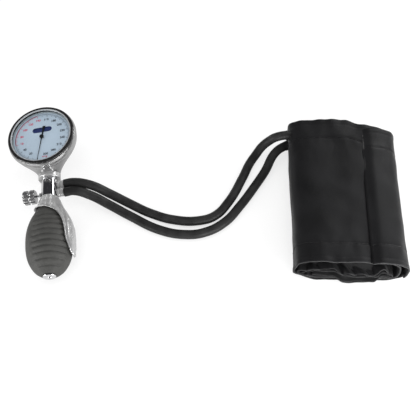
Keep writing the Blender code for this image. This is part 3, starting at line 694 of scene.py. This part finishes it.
def stepped(radius, height, angle):
    """The collar stands a little proud of the case's neck."""
    return radius + COLLAR_STEP * smoothstep(radius, 9.0, 9.6)


def gauge_head():
    gauge_case()
    refine("bezel_ring", GAUGE, 0.6, 120)
    refine("crystal", GAUGE, 0.2, 96)
    refine("dial_plate", GAUGE, 0.1, 96)
    pale_rings()
    dial_print()
    refine("pointer_hub", GAUGE, 0.4, 48)
    refine("swivel_collar", POST, 0.5, 96, stepped, COLLAR_METAL)


# ---- post, fittings and release valve ----

KNOB_R = extent("valve_knob", NEEDLE)[1].y
KNOB_FLUTES = 12
FLUTE_DEPTH = 1.3
POST_STEP = extent("spoon_guard", PUMP)[1].y + 0.05
POST_FOOT_R = 6.6
STEM_BORE_R, STEM_BORE_END = 3.95, -4.8
AIR_BORE_R = 1.5
FOOT_BORE_R, FOOT_BORE_DEPTH = 3.5, 3.4
PORT_BORE_R = 2.35
NEEDLE_BORE_R = 2.4
SCREW_BORE_R = 1.8


def drill(obj, radius, low, high, place):
    """Cuts a round hole and leaves no tool behind."""
    tool = lathe("drill", [(0, high), (radius, high), (radius, low), (0, low)], place, 32)
    cut = obj.modifiers.new("Hole", "BOOLEAN")
    cut.operation = "DIFFERENCE"
    cut.object = tool
    cut.solver = "EXACT"
    made = bake(obj)
    bpy.data.objects.remove(tool, do_unlink=True)
    return made


def post():
    low, high = extent("valve_body", POST)
    foot_end = low.z + FOOT_BORE_DEPTH
    profile = [(STEM_BORE_R, high.z), (high.x, high.z), (high.x, POST_STEP), (POST_FOOT_R, POST_STEP),
               (POST_FOOT_R, low.z), (FOOT_BORE_R, low.z), (FOOT_BORE_R, foot_end), (AIR_BORE_R, foot_end),
               (AIR_BORE_R, STEM_BORE_END), (STEM_BORE_R, STEM_BORE_END)]
    body = lathe("valve_post", rounded(profile, 0.3, True), POST, 96, True)
    for node in ("hose_barb_gauge", "hose_barb_bulb"):
        body = drill(body, PORT_BORE_R, 4.0, 10.0, port(node))
    body = drill(body, NEEDLE_BORE_R, 4.2, 10.0, NEEDLE)
    body = drill(body, SCREW_BORE_R, 3.0, 10.0, PUMP @ moved(0, extent("swivel_screw", PUMP)[0].y + 1.5, 0))
    stand_in(body, "valve_body", sharp=40)


def fluted(radius, height, angle):
    """Shallow round flutes on the knob's full radius, none in its groove or its ends."""
    share = smoothstep(radius, KNOB_R - 1.0, KNOB_R - 0.2)
    return radius - FLUTE_DEPTH * share * (0.5 - 0.5 * math.cos(KNOB_FLUTES * angle)) ** 2


def fittings():
    post()
    for node in ("hose_barb_gauge", "hose_barb_bulb"):
        refine(node, port(node), 0.3, 48, look=COLLAR_METAL)
    refine("gland_nut", NEEDLE, 0.2, 48, look=COLLAR_METAL)
    refine("valve_knob", NEEDLE, 0.5, 168, shape=fluted, look=KNOB_METAL)
    refine("outlet_valve_body", POST, 0.3, 64)
    refine("inlet_valve_body", POST, 0.3, 72)
    refine("inlet_retainer", POST, 0.15, 48)


# ---- spoon and bulb ----

SPOON_TOP = extent("spoon_guard", PUMP)[1].y
SPOON_WALL = 1.0
SPOON_NECK_R = 7.0
# Turn in degrees from the middle of the leaf, and the height along the post that the rim reaches there
RIM = ((0, -87.0), (9, -86.0), (18, -83.0), (27, -79.5), (34, -74.0), (38, -64.5), (41, -56.5), (46, -49.5),
       (54, -44.0), (69, -40.0), (96, -36.6), (125, -35.0), (155, -34.0), (180, -33.6))
# Height along the post, and the leaf's outer radius there
LEAF = ((-87.0, 22.4), (-83.0, 23.1), (-75.0, 23.8), (-65.0, 23.7), (-56.0, 22.9), (-47.0, 20.3),
        (-42.5, 18.3), (-37.7, 15.9), (-34.0, 13.8), (-31.0, 12.4), (-28.0, 11.3), (-25.0, 10.2),
        (-22.5, 9.2), (SPOON_TOP, 8.5))
# Height along the post, and half the width of the raised back
BACK = ((-88.0, 1.0), (-83.5, 5.0), (-74.5, 10.2), (-64.7, 11.8), (-51.7, 10.4), (-37.8, 5.2), (-24.0, 3.6))
# Height along the post, and the distance to either side of the back's middle
DIMPLES = ((-50.9, 7.6), (-59.7, 7.1), (-68.7, 6.1))
DIMPLE_DEPTH = 1.3


def smooth_table(table, steps=8):
    """A table of (x, value) made dense along a Catmull-Rom curve, as two arrays for np.interp."""
    points = [Vector(point) for point in table]
    points = [points[0] * 2 - points[1]] + points + [points[-1] * 2 - points[-2]]
    made = []
    for a, b, c, d in zip(points, points[1:], points[2:], points[3:]):
        for step in range(steps):
            t = step / steps
            made.append(0.5 * ((2 * b) + (c - a) * t + (2 * a - 5 * b + 4 * c - d) * t**2
                               + (3 * b - a - 3 * c + d) * t**3))
    made.append(points[-2])
    return np.array([p.x for p in made]), np.array([p.y for p in made])


def distance_to_line(points, line):
    """Distance of each point from a polyline, both in the plane."""
    nearest = np.full(len(points), 1e9)
    for a, b in zip(line, line[1:]):
        along = b - a
        share = np.clip(((points - a) @ along) / (along @ along), 0, 1)
        nearest = np.minimum(nearest, np.hypot(*(points - a - share[:, None] * along).T))
    return nearest


def ridge(distance, middle, width):
    """Smooth ridge of height 1 across an array of distances."""
    return np.exp(-((distance - middle) / width) ** 2)


def spoon():
    """Cone over the bulb's neck that runs on as a leaf: rolled rim, raised back and two rows of dimples."""
    rows, columns = 90, 200
    turn = -180 + 360 * np.arange(columns) / columns
    low = np.interp(np.abs(turn), *smooth_table(RIM))
    y = SPOON_TOP + np.linspace(0, 1, rows)[:, None] * (low - SPOON_TOP)[None, :]
    radius = np.interp(y, *smooth_table(LEAF))
    across = np.radians(turn)[None, :] * radius
    flat = np.stack([across.ravel(), y.ravel()], axis=1)
    rim_turn = np.linspace(-180, 180, 121)
    rim_y = np.interp(np.abs(rim_turn), *smooth_table(RIM))
    rim = np.stack([np.radians(rim_turn) * np.interp(rim_y, *smooth_table(LEAF)), rim_y], axis=1)
    from_rim = distance_to_line(flat, rim).reshape(y.shape)
    lip = 0.9 * ridge(from_rim, 0.5, 0.9) - 0.25 * ridge(from_rim, 3.0, 1.2)
    from_back = np.abs(across) - np.interp(y, *smooth_table(BACK))
    raised = 0.75 / (1 + np.exp(from_back / 0.25))
    groove = -0.75 * ridge(from_back, 1.0, 0.6)
    dimples = np.zeros_like(y)
    for dimple_y, side in DIMPLES:
        dimples -= DIMPLE_DEPTH * np.exp(-(((np.abs(across) - side) ** 2 + (y - dimple_y) ** 2) / 1.3))
    calm = np.clip((SPOON_TOP - y) / 3, 0, 1)
    radius = radius + lip + calm * (raised + groove + dimples)
    angle = np.radians(90 - turn)[None, :]
    grid = np.stack([radius * np.sin(angle), y, radius * np.cos(angle)], axis=2)
    neck = np.stack([SPOON_NECK_R * np.sin(angle[0]), np.full(columns, SPOON_TOP),
                     SPOON_NECK_R * np.cos(angle[0])], axis=1)
    points = np.concatenate([neck, grid.reshape(-1, 3)])
    leaf = mesh_piece("spoon_shell", points, grid_faces(rows + 1, columns, wrap=True), PUMP)
    thicken(leaf, SPOON_WALL)
    stand_in(leaf, "spoon_guard", SPOON_METAL, sharp=50)


GROOVE_FIRST, GROOVE_PITCH, GROOVE_COUNT = -46.8, -5.6, 10
GROOVE_DEPTH = 0.75
GROOVE_WIDTH = 0.8
GROOVE_SWELL = 0.25
RIB_SPAN = 5.5
GROOVE_MIDDLE = 20.0
GROOVE_REACH = 50.0


def bulb():
    """Squeeze bulb with a field of grip grooves on its near side."""
    profile, _ = cad_profile("bulb", POST)
    outline = resampled(chaikin(profile, 3), 0.6)
    outer = {}
    for radius, height in outline:
        outer[round(height)] = max(outer.get(round(height), 0), radius)
    grooves = [GROOVE_FIRST + GROOVE_PITCH * i for i in range(GROOVE_COUNT)]

    def ribbed(radius, height, angle):
        if radius < outer[round(height)] - 1.0:
            return radius
        turn = (math.degrees(angle) + 90 - GROOVE_MIDDLE + 180) % 360 - 180
        share = 1 - smoothstep(abs(turn), GROOVE_REACH - 9, GROOVE_REACH + 4)
        nearest = min(abs(height - groove) for groove in grooves)
        swell = GROOVE_SWELL * math.cos(math.tau * min(nearest, RIB_SPAN / 2) / RIB_SPAN)
        return radius - share * (GROOVE_DEPTH * bell(nearest, GROOVE_WIDTH) + swell)

    shell = lathe("bulb_shell", outline, POST, 150, True, ribbed)
    stand_in(shell, "bulb", sharp=60, body="pump")
    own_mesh(shell)


# ---- hoses ----

HOSE_R = 4.55
HOSE_WALL = 1.8
TABLE_Z = HOSE_R + 0.4
HOSE_START_X = 15.0
HOSE_START_LENGTH = 9
FOLD_X = extent("cuff_outer_cloth", CUFF)[0].x + 0.4
HOSE_STRAIGHT = 5.5
HOSE_END = -6.0
# World points of the bends in mm, between the straight start at the post and the straight end at the roll
GAUGE_ROUTE = ((-245.0, 44.2, 22.5), (-226.8, 37.8, 12.5), (-208.0, 27.6, 6.5), (-189.2, 15.8, TABLE_Z),
               (-165.3, 5.3, TABLE_Z), (-141.0, 2.0, TABLE_Z), (-125.8, 5.6, TABLE_Z),
               (-111.0, 19.0, TABLE_Z), (-92.2, 46.9, TABLE_Z), (-83.5, 61.6, 5.4), (-75.5, 70.5, 8.4),
               (-69.5, 75.0, 14.0), (-62.0, 76.7, 21.5))
BULB_ROUTE = ((-245.5, 34.0, 20.0), (-227.5, 26.0, 10.5), (-208.9, 14.4, 5.6), (-180.8, -4.1, TABLE_Z),
              (-157.1, -11.7, TABLE_Z), (-137.5, -11.4, TABLE_Z), (-116.8, -2.4, TABLE_Z),
              (-99.8, 13.8, TABLE_Z), (-81.6, 35.0, TABLE_Z), (-69.5, 49.8, 6.6))
# Y and Z of each entry in the roll's frame, and the hose's tilt there in degrees
GAUGE_ENTRY = (69.3, 29.0, 12.0)
BULB_ENTRY = (65.5, 15.0, 38.0)


def hose_end(node, entry):
    """The two ends of a hose's last straight stretch, which runs into the roll's fold."""
    y, z, tilt = entry
    turn = math.radians(tilt)
    gap = -(extent(node, CUFF)[0].x - FOLD_X) + 0.3 + HOSE_R * math.sin(turn)
    reach = gap / math.cos(turn)
    return [CUFF @ Vector((FOLD_X - r * math.cos(turn), y - r * math.sin(turn), z))
            for r in (reach + HOSE_STRAIGHT, HOSE_END)]


def hose(node, fitting, route, grommet, entry):
    """Open rubber tube that bends from the pump to the cuff."""
    start_y = sum(corner.y for corner in extent(fitting, PUMP)) / 2
    knots = [PUMP @ Vector((x, start_y, 0)) for x in (HOSE_START_X, HOSE_START_X + HOSE_START_LENGTH)]
    knots += [Vector(point) * MM for point in route]
    knots += hose_end(grommet, entry)
    curve = bpy.data.curves.new(node, "CURVE")
    curve.dimensions = "3D"
    curve.bevel_depth = HOSE_R * MM
    curve.bevel_resolution = 8
    curve.resolution_u = 14
    curve.twist_mode = "MINIMUM"
    spline = curve.splines.new("BEZIER")
    spline.bezier_points.add(len(knots) - 1)
    for knot, point in zip(spline.bezier_points, knots):
        knot.co = point
        knot.handle_left_type = "AUTO"
        knot.handle_right_type = "AUTO"
    tube = bpy.data.objects.new(node + "_tube", curve)
    bpy.context.scene.collection.objects.link(tube)
    tube = bake(thicken(tube, HOSE_WALL))
    dress(tube, LOOKS["hose_rubber"])
    smooth(tube, 60)
    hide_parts(node)
    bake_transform(tube)


def boot(node, entry):
    """Thin soft sleeve round a hose, where it goes through the cloth."""
    y, z, tilt = entry
    turn = math.radians(tilt)
    out = (CUFF.to_3x3() @ Vector((-math.cos(turn), -math.sin(turn), 0))).to_track_quat("Z", "Y").to_matrix()
    place = Matrix.Translation(CUFF @ Vector((FOLD_X, y, z))) @ out.to_4x4() @ Matrix.Scale(MM, 4)
    profile = [(4.58, 0.8), (4.7, 0.8), (4.85, 0.0), (4.95, -1.2), (4.58, -1.2)]
    sleeve = lathe(node + "_boot", rounded(profile, 0.3, True), place, 64, True)
    stand_in(sleeve, node, LOOKS["hose_rubber"])


def hoses():
    boot("grommet_upper", GAUGE_ENTRY)
    boot("grommet_lower", BULB_ENTRY)
    hose("hose_gauge", "hose_barb_gauge", GAUGE_ROUTE, "grommet_upper", GAUGE_ENTRY)
    hose("hose_bulb", "hose_barb_bulb", BULB_ROUTE, "grommet_lower", BULB_ENTRY)


# ---- cuff ----

ROLL_LOW, ROLL_HIGH = extent("cuff_outer_cloth", CUFF)
HALF_WIDTH = ROLL_HIGH.x + 0.1
HALF_HEIGHT = ROLL_HIGH.z / 2
ROLL_POWER = 3.0
ROLL_START = -25.0
SHRINK_AFTER = 145.0
SHRINK_PER_TURN = 12.5
CLOTH_THICK, FLAP_THICK, LINING_THICK, BLADDER_THICK, TAPE_THICK = 1.5, 1.4, 1.2, 2.2, 0.6
LINING_DEPTH, BLADDER_DEPTH, HOOK_DEPTH, LOOP_DEPTH = 5.2, 2.1, 1.8, -0.9
# Distance of the seams from the cloth's far end, or as a negative number from its front end
CLOTH_SEAMS, FLAP_SEAMS = (21.0, -19.0), (22.5, -19.0)
STITCH_PITCH, STITCH_LENGTH, THREAD_R, THREAD_LIFT = 3.4, 2.5, 0.24, 0.28
FOLD_LEFT, FOLD_WIDTH, FOLD_LENGTH, FOLD_BASE, FOLD_THICK = -44, 86, 52, 10.5, 1.0


def oval_point(angle, inward):
    """Point of the roll's flattened outline at this polar parameter, moved inwards."""
    cosine, sine = math.cos(math.radians(angle)), math.sin(math.radians(angle))
    power = 2 / ROLL_POWER
    x = (HALF_WIDTH - inward) * math.copysign(abs(cosine) ** power, cosine)
    z = (HALF_HEIGHT - inward) * math.copysign(abs(sine) ** power, sine)
    return x, z + HALF_HEIGHT


def roll_point(turn, depth):
    """Point of the flattened spiral after this many degrees of turn, this deep below its outer face."""
    return oval_point(ROLL_START - turn, depth + SHRINK_PER_TURN * max(0.0, turn - SHRINK_AFTER) / 360)


class Sheet:
    """A cloth whose section in the XZ plane of the roll is a line, and which runs from one Y to another.

    calm is the height of its slow waves, loose the height of the folds at its ends, ripple the waviness of
    its edges. seams and hem lie this far from the ends. droop says how much of a turn sinks at the front,
    reach how far the front edge sticks out, and slope how strongly the far edge steps down to the right.
    """

    def __init__(self, section, first, last, low, high, seed, calm=0.5, loose=1.0, ripple=1.0, seams=(),
                 hem=5.0, droop=None, reach=None, slope=0.0):
        turns = np.linspace(first, last, 900)
        line = np.array([section(turn) for turn in turns])
        length = np.concatenate([[0], np.cumsum(np.hypot(*np.diff(line, axis=0).T))])
        self.length, self.turns, self.line = length, turns, line
        tangent = np.gradient(line, axis=0)
        normal = np.stack([tangent[:, 1], -tangent[:, 0]], axis=1)
        normal /= np.linalg.norm(normal, axis=1)[:, None]
        outward = (normal * (line - [0, HALF_HEIGHT])).sum(axis=1)
        self.normal = normal * np.sign(outward.mean())
        self.low, self.high, self.seed = low, high, seed
        self.calm, self.loose, self.ripple = calm, loose, ripple
        self.seams, self.hem, self.droop = seams, hem, droop
        self.reach, self.slope = reach, slope

    def edges(self, s):
        """Where the cloth starts and ends along the roll, at this length of its section."""
        ripple, seed = self.ripple, self.seed
        low = self.low + ripple * wavy(s / 31, seed) + 0.4 * ripple * wavy(s / 11, seed + 5)
        high = self.high + ripple * wavy(s / 37, seed + 9) + 0.3 * ripple * wavy(s / 13, seed)
        x = np.interp(s, self.length, self.line[:, 0])
        if self.reach:
            low -= self.reach(x)
        return low, high + self.slope * (1.0 - 5.0 * smoothstep(x, 2, 20))

    def point(self, s, share, lift=0.0):
        """The cloth's outer face, at this length of its section and this share of the way along the roll."""
        x, z = (np.interp(s, self.length, self.line[:, i]) for i in (0, 1))
        nx, nz = (np.interp(s, self.length, self.normal[:, i]) for i in (0, 1))
        low, high = self.edges(s)
        y = low + (high - low) * share
        front, back = y - low, high - y
        near = min(front, back)
        up = self.calm * wavy(x / 42 + self.seed, y / 55, z / 42)
        up += 0.35 * self.calm * wavy(x / 15, y / 19 + self.seed, z / 15)
        up += 0.5 * self.calm * (0.35 - abs(wavy((x + 0.6 * y) / 34, (y - 0.4 * x) / 70, self.seed + z / 40)))
        up += self.loose * bell(near, 17) * wavy(x / 15 + self.seed, y / 60, z / 15)
        up += 0.5 * self.loose * bell(near, 7) * wavy(x / 7, y / 30, z / 7 + self.seed)
        up += 0.2 * (1 - smoothstep(near, self.hem - 0.6, self.hem + 0.2)) - 0.25 * bell(near - self.hem, 0.7)
        for seam in self.seams:
            away = back - seam if seam > 0 else front + seam
            up -= 0.3 * bell(away, 1.2)
            up += 0.8 * bell(away, 8) * wavy(s / 8, y / 18, self.seed)
        if self.droop:
            z *= 1 - 0.5 * bell(front, 24) * self.droop(np.interp(s, self.length, self.turns))
        return Vector((x + nx * (up + lift), y, max(z + nz * (up + lift), 0.15)))

    def build(self, name, spacing=1.7, row=1.1):
        columns = int(self.length[-1] / spacing) + 1
        rows = int((self.high - self.low) / row) + 1
        points = [self.point(self.length[-1] * c / (columns - 1), r / (rows - 1))
                  for r in range(rows) for c in range(columns)]
        return cloth_grid(name, points, rows, columns, self.length[-1], self.high - self.low)

    def stitches(self, seam, first, last):
        """Ends of the stitches along a seam, between two lengths of the section."""
        pairs = []
        s = first
        while s + STITCH_LENGTH < last:
            ends = []
            for at in (s, s + STITCH_LENGTH):
                low, high = self.edges(at)
                share = 1 - seam / (high - low) if seam > 0 else -seam / (high - low)
                ends.append(self.point(at, share, THREAD_LIFT))
            pairs.append(ends)
            s += STITCH_PITCH
        return pairs


def cloth_grid(name, points, rows, columns, width, length):
    """A grid of points in the roll's frame as one mesh, with its UV map in millimetres of cloth."""
    shape = bmesh.new()
    vertices = [shape.verts.new(CUFF @ Vector(point)) for point in points]
    flat = shape.loops.layers.uv.new("cloth")
    for face in grid_faces(rows, columns):
        made = shape.faces.new([vertices[i] for i in face])
        for loop, i in zip(made.loops, face):
            loop[flat].uv = (width * (i % columns) / (columns - 1), length * (i // columns) / (rows - 1))
    return from_bmesh(name, shape)


def sewing(name, pairs):
    """Stitches as one piece: a short fat thread for each pair of points."""
    radius = THREAD_R * MM
    shape = bmesh.new()
    for a, b in pairs:
        a, b = CUFF @ a, CUFF @ b
        along = b - a
        place = Matrix.Translation((a + b) / 2) @ along.to_track_quat("Z", "Y").to_matrix().to_4x4()
        bmesh.ops.create_cone(shape, cap_ends=True, segments=6, radius1=radius, radius2=radius,
                              depth=along.length, matrix=place)
    return from_bmesh(name, shape)


def inner_share(turn):
    """1 for the windings inside the roll, 0 for its outside."""
    return smoothstep(turn, 300, 370)


def plateau(x, rise, top, edge, fall):
    """0 outside, 1 between top and edge, and smooth on both sides."""
    return smoothstep(x, rise, top) * (1 - smoothstep(x, edge, fall))


def tongue(x):
    """The inner cloth's middle sticks out of the roll's front end."""
    return 5.0 * plateau(x, -14, -4, 24, 32)


def flap_taper(turn):
    """The flap's free edge sinks until it lies on the cloth below."""
    return 3.3 * (1 - smoothstep(turn, -1, 10))


def sheet_piece(sheet, name, node, thickness):
    stand_in(thicken(sheet.build(name), thickness), node, sharp=60)


def inner_fold(front):
    """Loose inner cloth that lies in soft slanting folds just inside the roll's front end."""
    rows, columns = 56, 110
    points = []
    for row in range(rows):
        for column in range(columns):
            x = FOLD_LEFT + FOLD_WIDTH * column / (columns - 1)
            edge = front + 1.5 + 1.2 * wavy(x / 12, 4.2) - 4.5 * plateau(x, -16, -6, 22, 31)
            y = edge + FOLD_LENGTH * row / (rows - 1)
            slant = x + 0.55 * (y - front)
            fold = abs(wavy(slant / 17, 2.7, y / 80)) * 9 + 2.2 * wavy(slant / 7, y / 30, 8.1)
            rise = plateau(x, FOLD_LEFT, -34, 32, 42) * (1.15 * fold + 9 * bell(y - edge, 34))
            points.append((x, y, FOLD_BASE + rise))
    fold = cloth_grid("cuff_inner_fold", points, rows, columns, FOLD_WIDTH, FOLD_LENGTH)
    extra(thicken(fold, FOLD_THICK), "cuff", "lining_cloth", LOOKS["cuff_nylon"], sharp=60)


def tucked(turn):
    """The outer cloth, whose first edge is tucked under the flap's fold."""
    return roll_point(turn, 1.8 * (1 - smoothstep(turn, -14, 4)))


def sewn(sheet, seams, first, last):
    return [pair for seam in seams for pair in sheet.stitches(seam, first, last)]


def cuff():
    outer = Sheet(tucked, -14, 500, ROLL_LOW.y, ROLL_HIGH.y, 3.0, 1.4, 1.8, 1.2, seams=CLOTH_SEAMS,
                  droop=inner_share, slope=1.0)
    sheet_piece(outer, "cuff_cloth", "cuff_outer_cloth", CLOTH_THICK)
    low, high = extent("closing_flap", CUFF)
    flap = Sheet(lambda turn: oval_point(79 - turn, flap_taper(turn)), 0, 97, low.y + 2.0, high.y, 7.0,
                 1.2, 1.2, 1.0, seams=FLAP_SEAMS)
    sheet_piece(flap, "flap_cloth", "closing_flap", FLAP_THICK)
    low, high = extent("cuff_lining", CUFF)
    lining = Sheet(lambda turn: roll_point(turn, LINING_DEPTH), 10, 490, low.y, high.y, 11.0, 0.8, 2.0, 1.8,
                   droop=lambda turn: smoothstep(turn, 60, 200), reach=tongue)
    sheet_piece(lining, "cuff_lining_cloth", "cuff_lining", LINING_THICK)
    low, high = extent("cuff_bladder", CUFF)
    bladder = Sheet(lambda turn: roll_point(turn, BLADDER_DEPTH), 70, 360, low.y, high.y, 17.0, 0.3, 0.4, 0.5)
    sheet_piece(bladder, "cuff_bladder_bag", "cuff_bladder", BLADDER_THICK)
    low, high = extent("hook_patch", CUFF)
    hook = Sheet(lambda turn: oval_point(75 - turn, HOOK_DEPTH + flap_taper(turn + 4)), 0, 20, low.y, high.y,
                 7.0, 0.3, 0.2, 0.3, hem=1.5)
    sheet_piece(hook, "hook_tape", "hook_patch", TAPE_THICK)
    low, high = extent("loop_patch", CUFF)
    loop = Sheet(lambda turn: roll_point(turn, LOOP_DEPTH), 258, 282, low.y, high.y, 3.0,
                 0.3, 0.2, 0.3, hem=1.5)
    sheet_piece(loop, "loop_tape", "loop_patch", TAPE_THICK)
    inner_fold(ROLL_LOW.y)
    whole = outer.length[-1]
    threads = sewing("cuff_stitching", sewn(outer, CLOTH_SEAMS, whole * 0.2, whole * 0.62))
    extra(threads, "cuff", "cuff_nylon", THREAD)
    threads = sewing("flap_stitching", sewn(flap, FLAP_SEAMS, 2, flap.length[-1] - 3))
    extra(threads, "flap", "cuff_nylon", THREAD)


gauge_head()
fittings()
spoon()
bulb()
hoses()
cuff()


# ---- stage ----


def stage():
    floor = mesh_piece("floor", [(-4, -4, 0), (4, -4, 0), (4, 4, 0), (-4, 4, 0)], [(0, 1, 2, 3)],
                       Matrix.Identity(4))
    look = Look("floor")
    mirrored = look.node("ShaderNodeLightPath").outputs["Is Glossy Ray"]
    paper = look.tint(look.noise(60, 2), (0.29, 0.29, 0.29), (0.31, 0.31, 0.31))
    look.set(Base_Color=look.mix(mirrored, paper, (0.62, 0.62, 0.62, 1)), Roughness=0.7,
             Emission_Color=(1, 1, 1, 1),
             Emission_Strength=look.math("MULTIPLY", look.math("SUBTRACT", 1.0, mirrored), 0.68))
    dress(floor, look.material)
    floor.location.z = -0.0002


def softbox(name, place, target, size, power, seen=True):
    light = bpy.data.lights.new(name, "AREA")
    light.shape = "RECTANGLE"
    light.size, light.size_y = size
    light.energy = power
    lamp = bpy.data.objects.new(name, light)
    bpy.context.scene.collection.objects.link(lamp)
    lamp.location = place
    lamp.rotation_euler = (Vector(target) - Vector(place)).to_track_quat("-Z", "Y").to_euler()
    lamp.visible_glossy = seen
    lamp.visible_camera = False


GAUGE_AIM = (-0.285, 0.1, 0.03)
CAMERA_AZIMUTH, CAMERA_ELEVATION, CAMERA_DISTANCE = -6.4, 61, 0.68
CAMERA_TARGET = (-0.1313, 0.0178, 0)
CAMERA_LENS, CAMERA_SENSOR = 58.85, 36


def studio():
    """White light from all sides, a dark ceiling for what mirrors it, and bright strips for the metal."""
    world = bpy.data.worlds.new("studio")
    bpy.context.scene.world = world
    world.use_nodes = True
    nodes, links = world.node_tree.nodes, world.node_tree.links
    background = nodes["Background"]
    rays = nodes.new("ShaderNodeLightPath")
    tone = nodes.new("ShaderNodeMixRGB")
    tone.inputs["Color1"].default_value = (1, 1, 1, 1)
    tone.inputs["Color2"].default_value = (0.05, 0.05, 0.055, 1)
    links.new(rays.outputs["Is Glossy Ray"], tone.inputs["Fac"])
    links.new(tone.outputs[0], background.inputs["Color"])
    background.inputs["Strength"].default_value = 0.75
    middle = (CAD_BOX[0] + CAD_BOX[1]) / 2
    softbox("key", (-0.3, -0.2, 1.6), middle, (1.6, 1.2), 11, seen=False)
    softbox("left_front_strip", (-0.65, -0.2, 0.1), GAUGE_AIM, (0.4, 0.09), 1.2)
    softbox("right_front_strip", (0.1, -0.3, 0.12), GAUGE_AIM, (0.5, 0.1), 1.6)
    softbox("right_strip", (0.55, 0.6, 0.45), (-0.285, 0.04, 0.02), (0.4, 0.2), 2.4)


def camera():
    azimuth, elevation = math.radians(CAMERA_AZIMUTH), math.radians(CAMERA_ELEVATION)
    back = Vector((math.sin(azimuth) * math.cos(elevation), -math.cos(azimuth) * math.cos(elevation),
                   math.sin(elevation)))
    lens = bpy.data.cameras.new("camera")
    lens.lens = CAMERA_LENS
    lens.sensor_width = CAMERA_SENSOR
    eye = bpy.data.objects.new("camera", lens)
    bpy.context.scene.collection.objects.link(eye)
    eye.location = Vector(CAMERA_TARGET) + back * CAMERA_DISTANCE
    eye.rotation_euler = (-back).to_track_quat("-Z", "Y").to_euler()
    bpy.context.scene.camera = eye


def carry_over():
    """Every CAD node that is still shown gets its slot's material."""
    for node, obj in frame["nodes"].items():
        if not obj.hide_render:
            dress(obj, LOOKS[SLOT_OF[node]])


carry_over()
stage()
studio()
camera()
bpy.context.scene.view_settings.view_transform = "Standard"
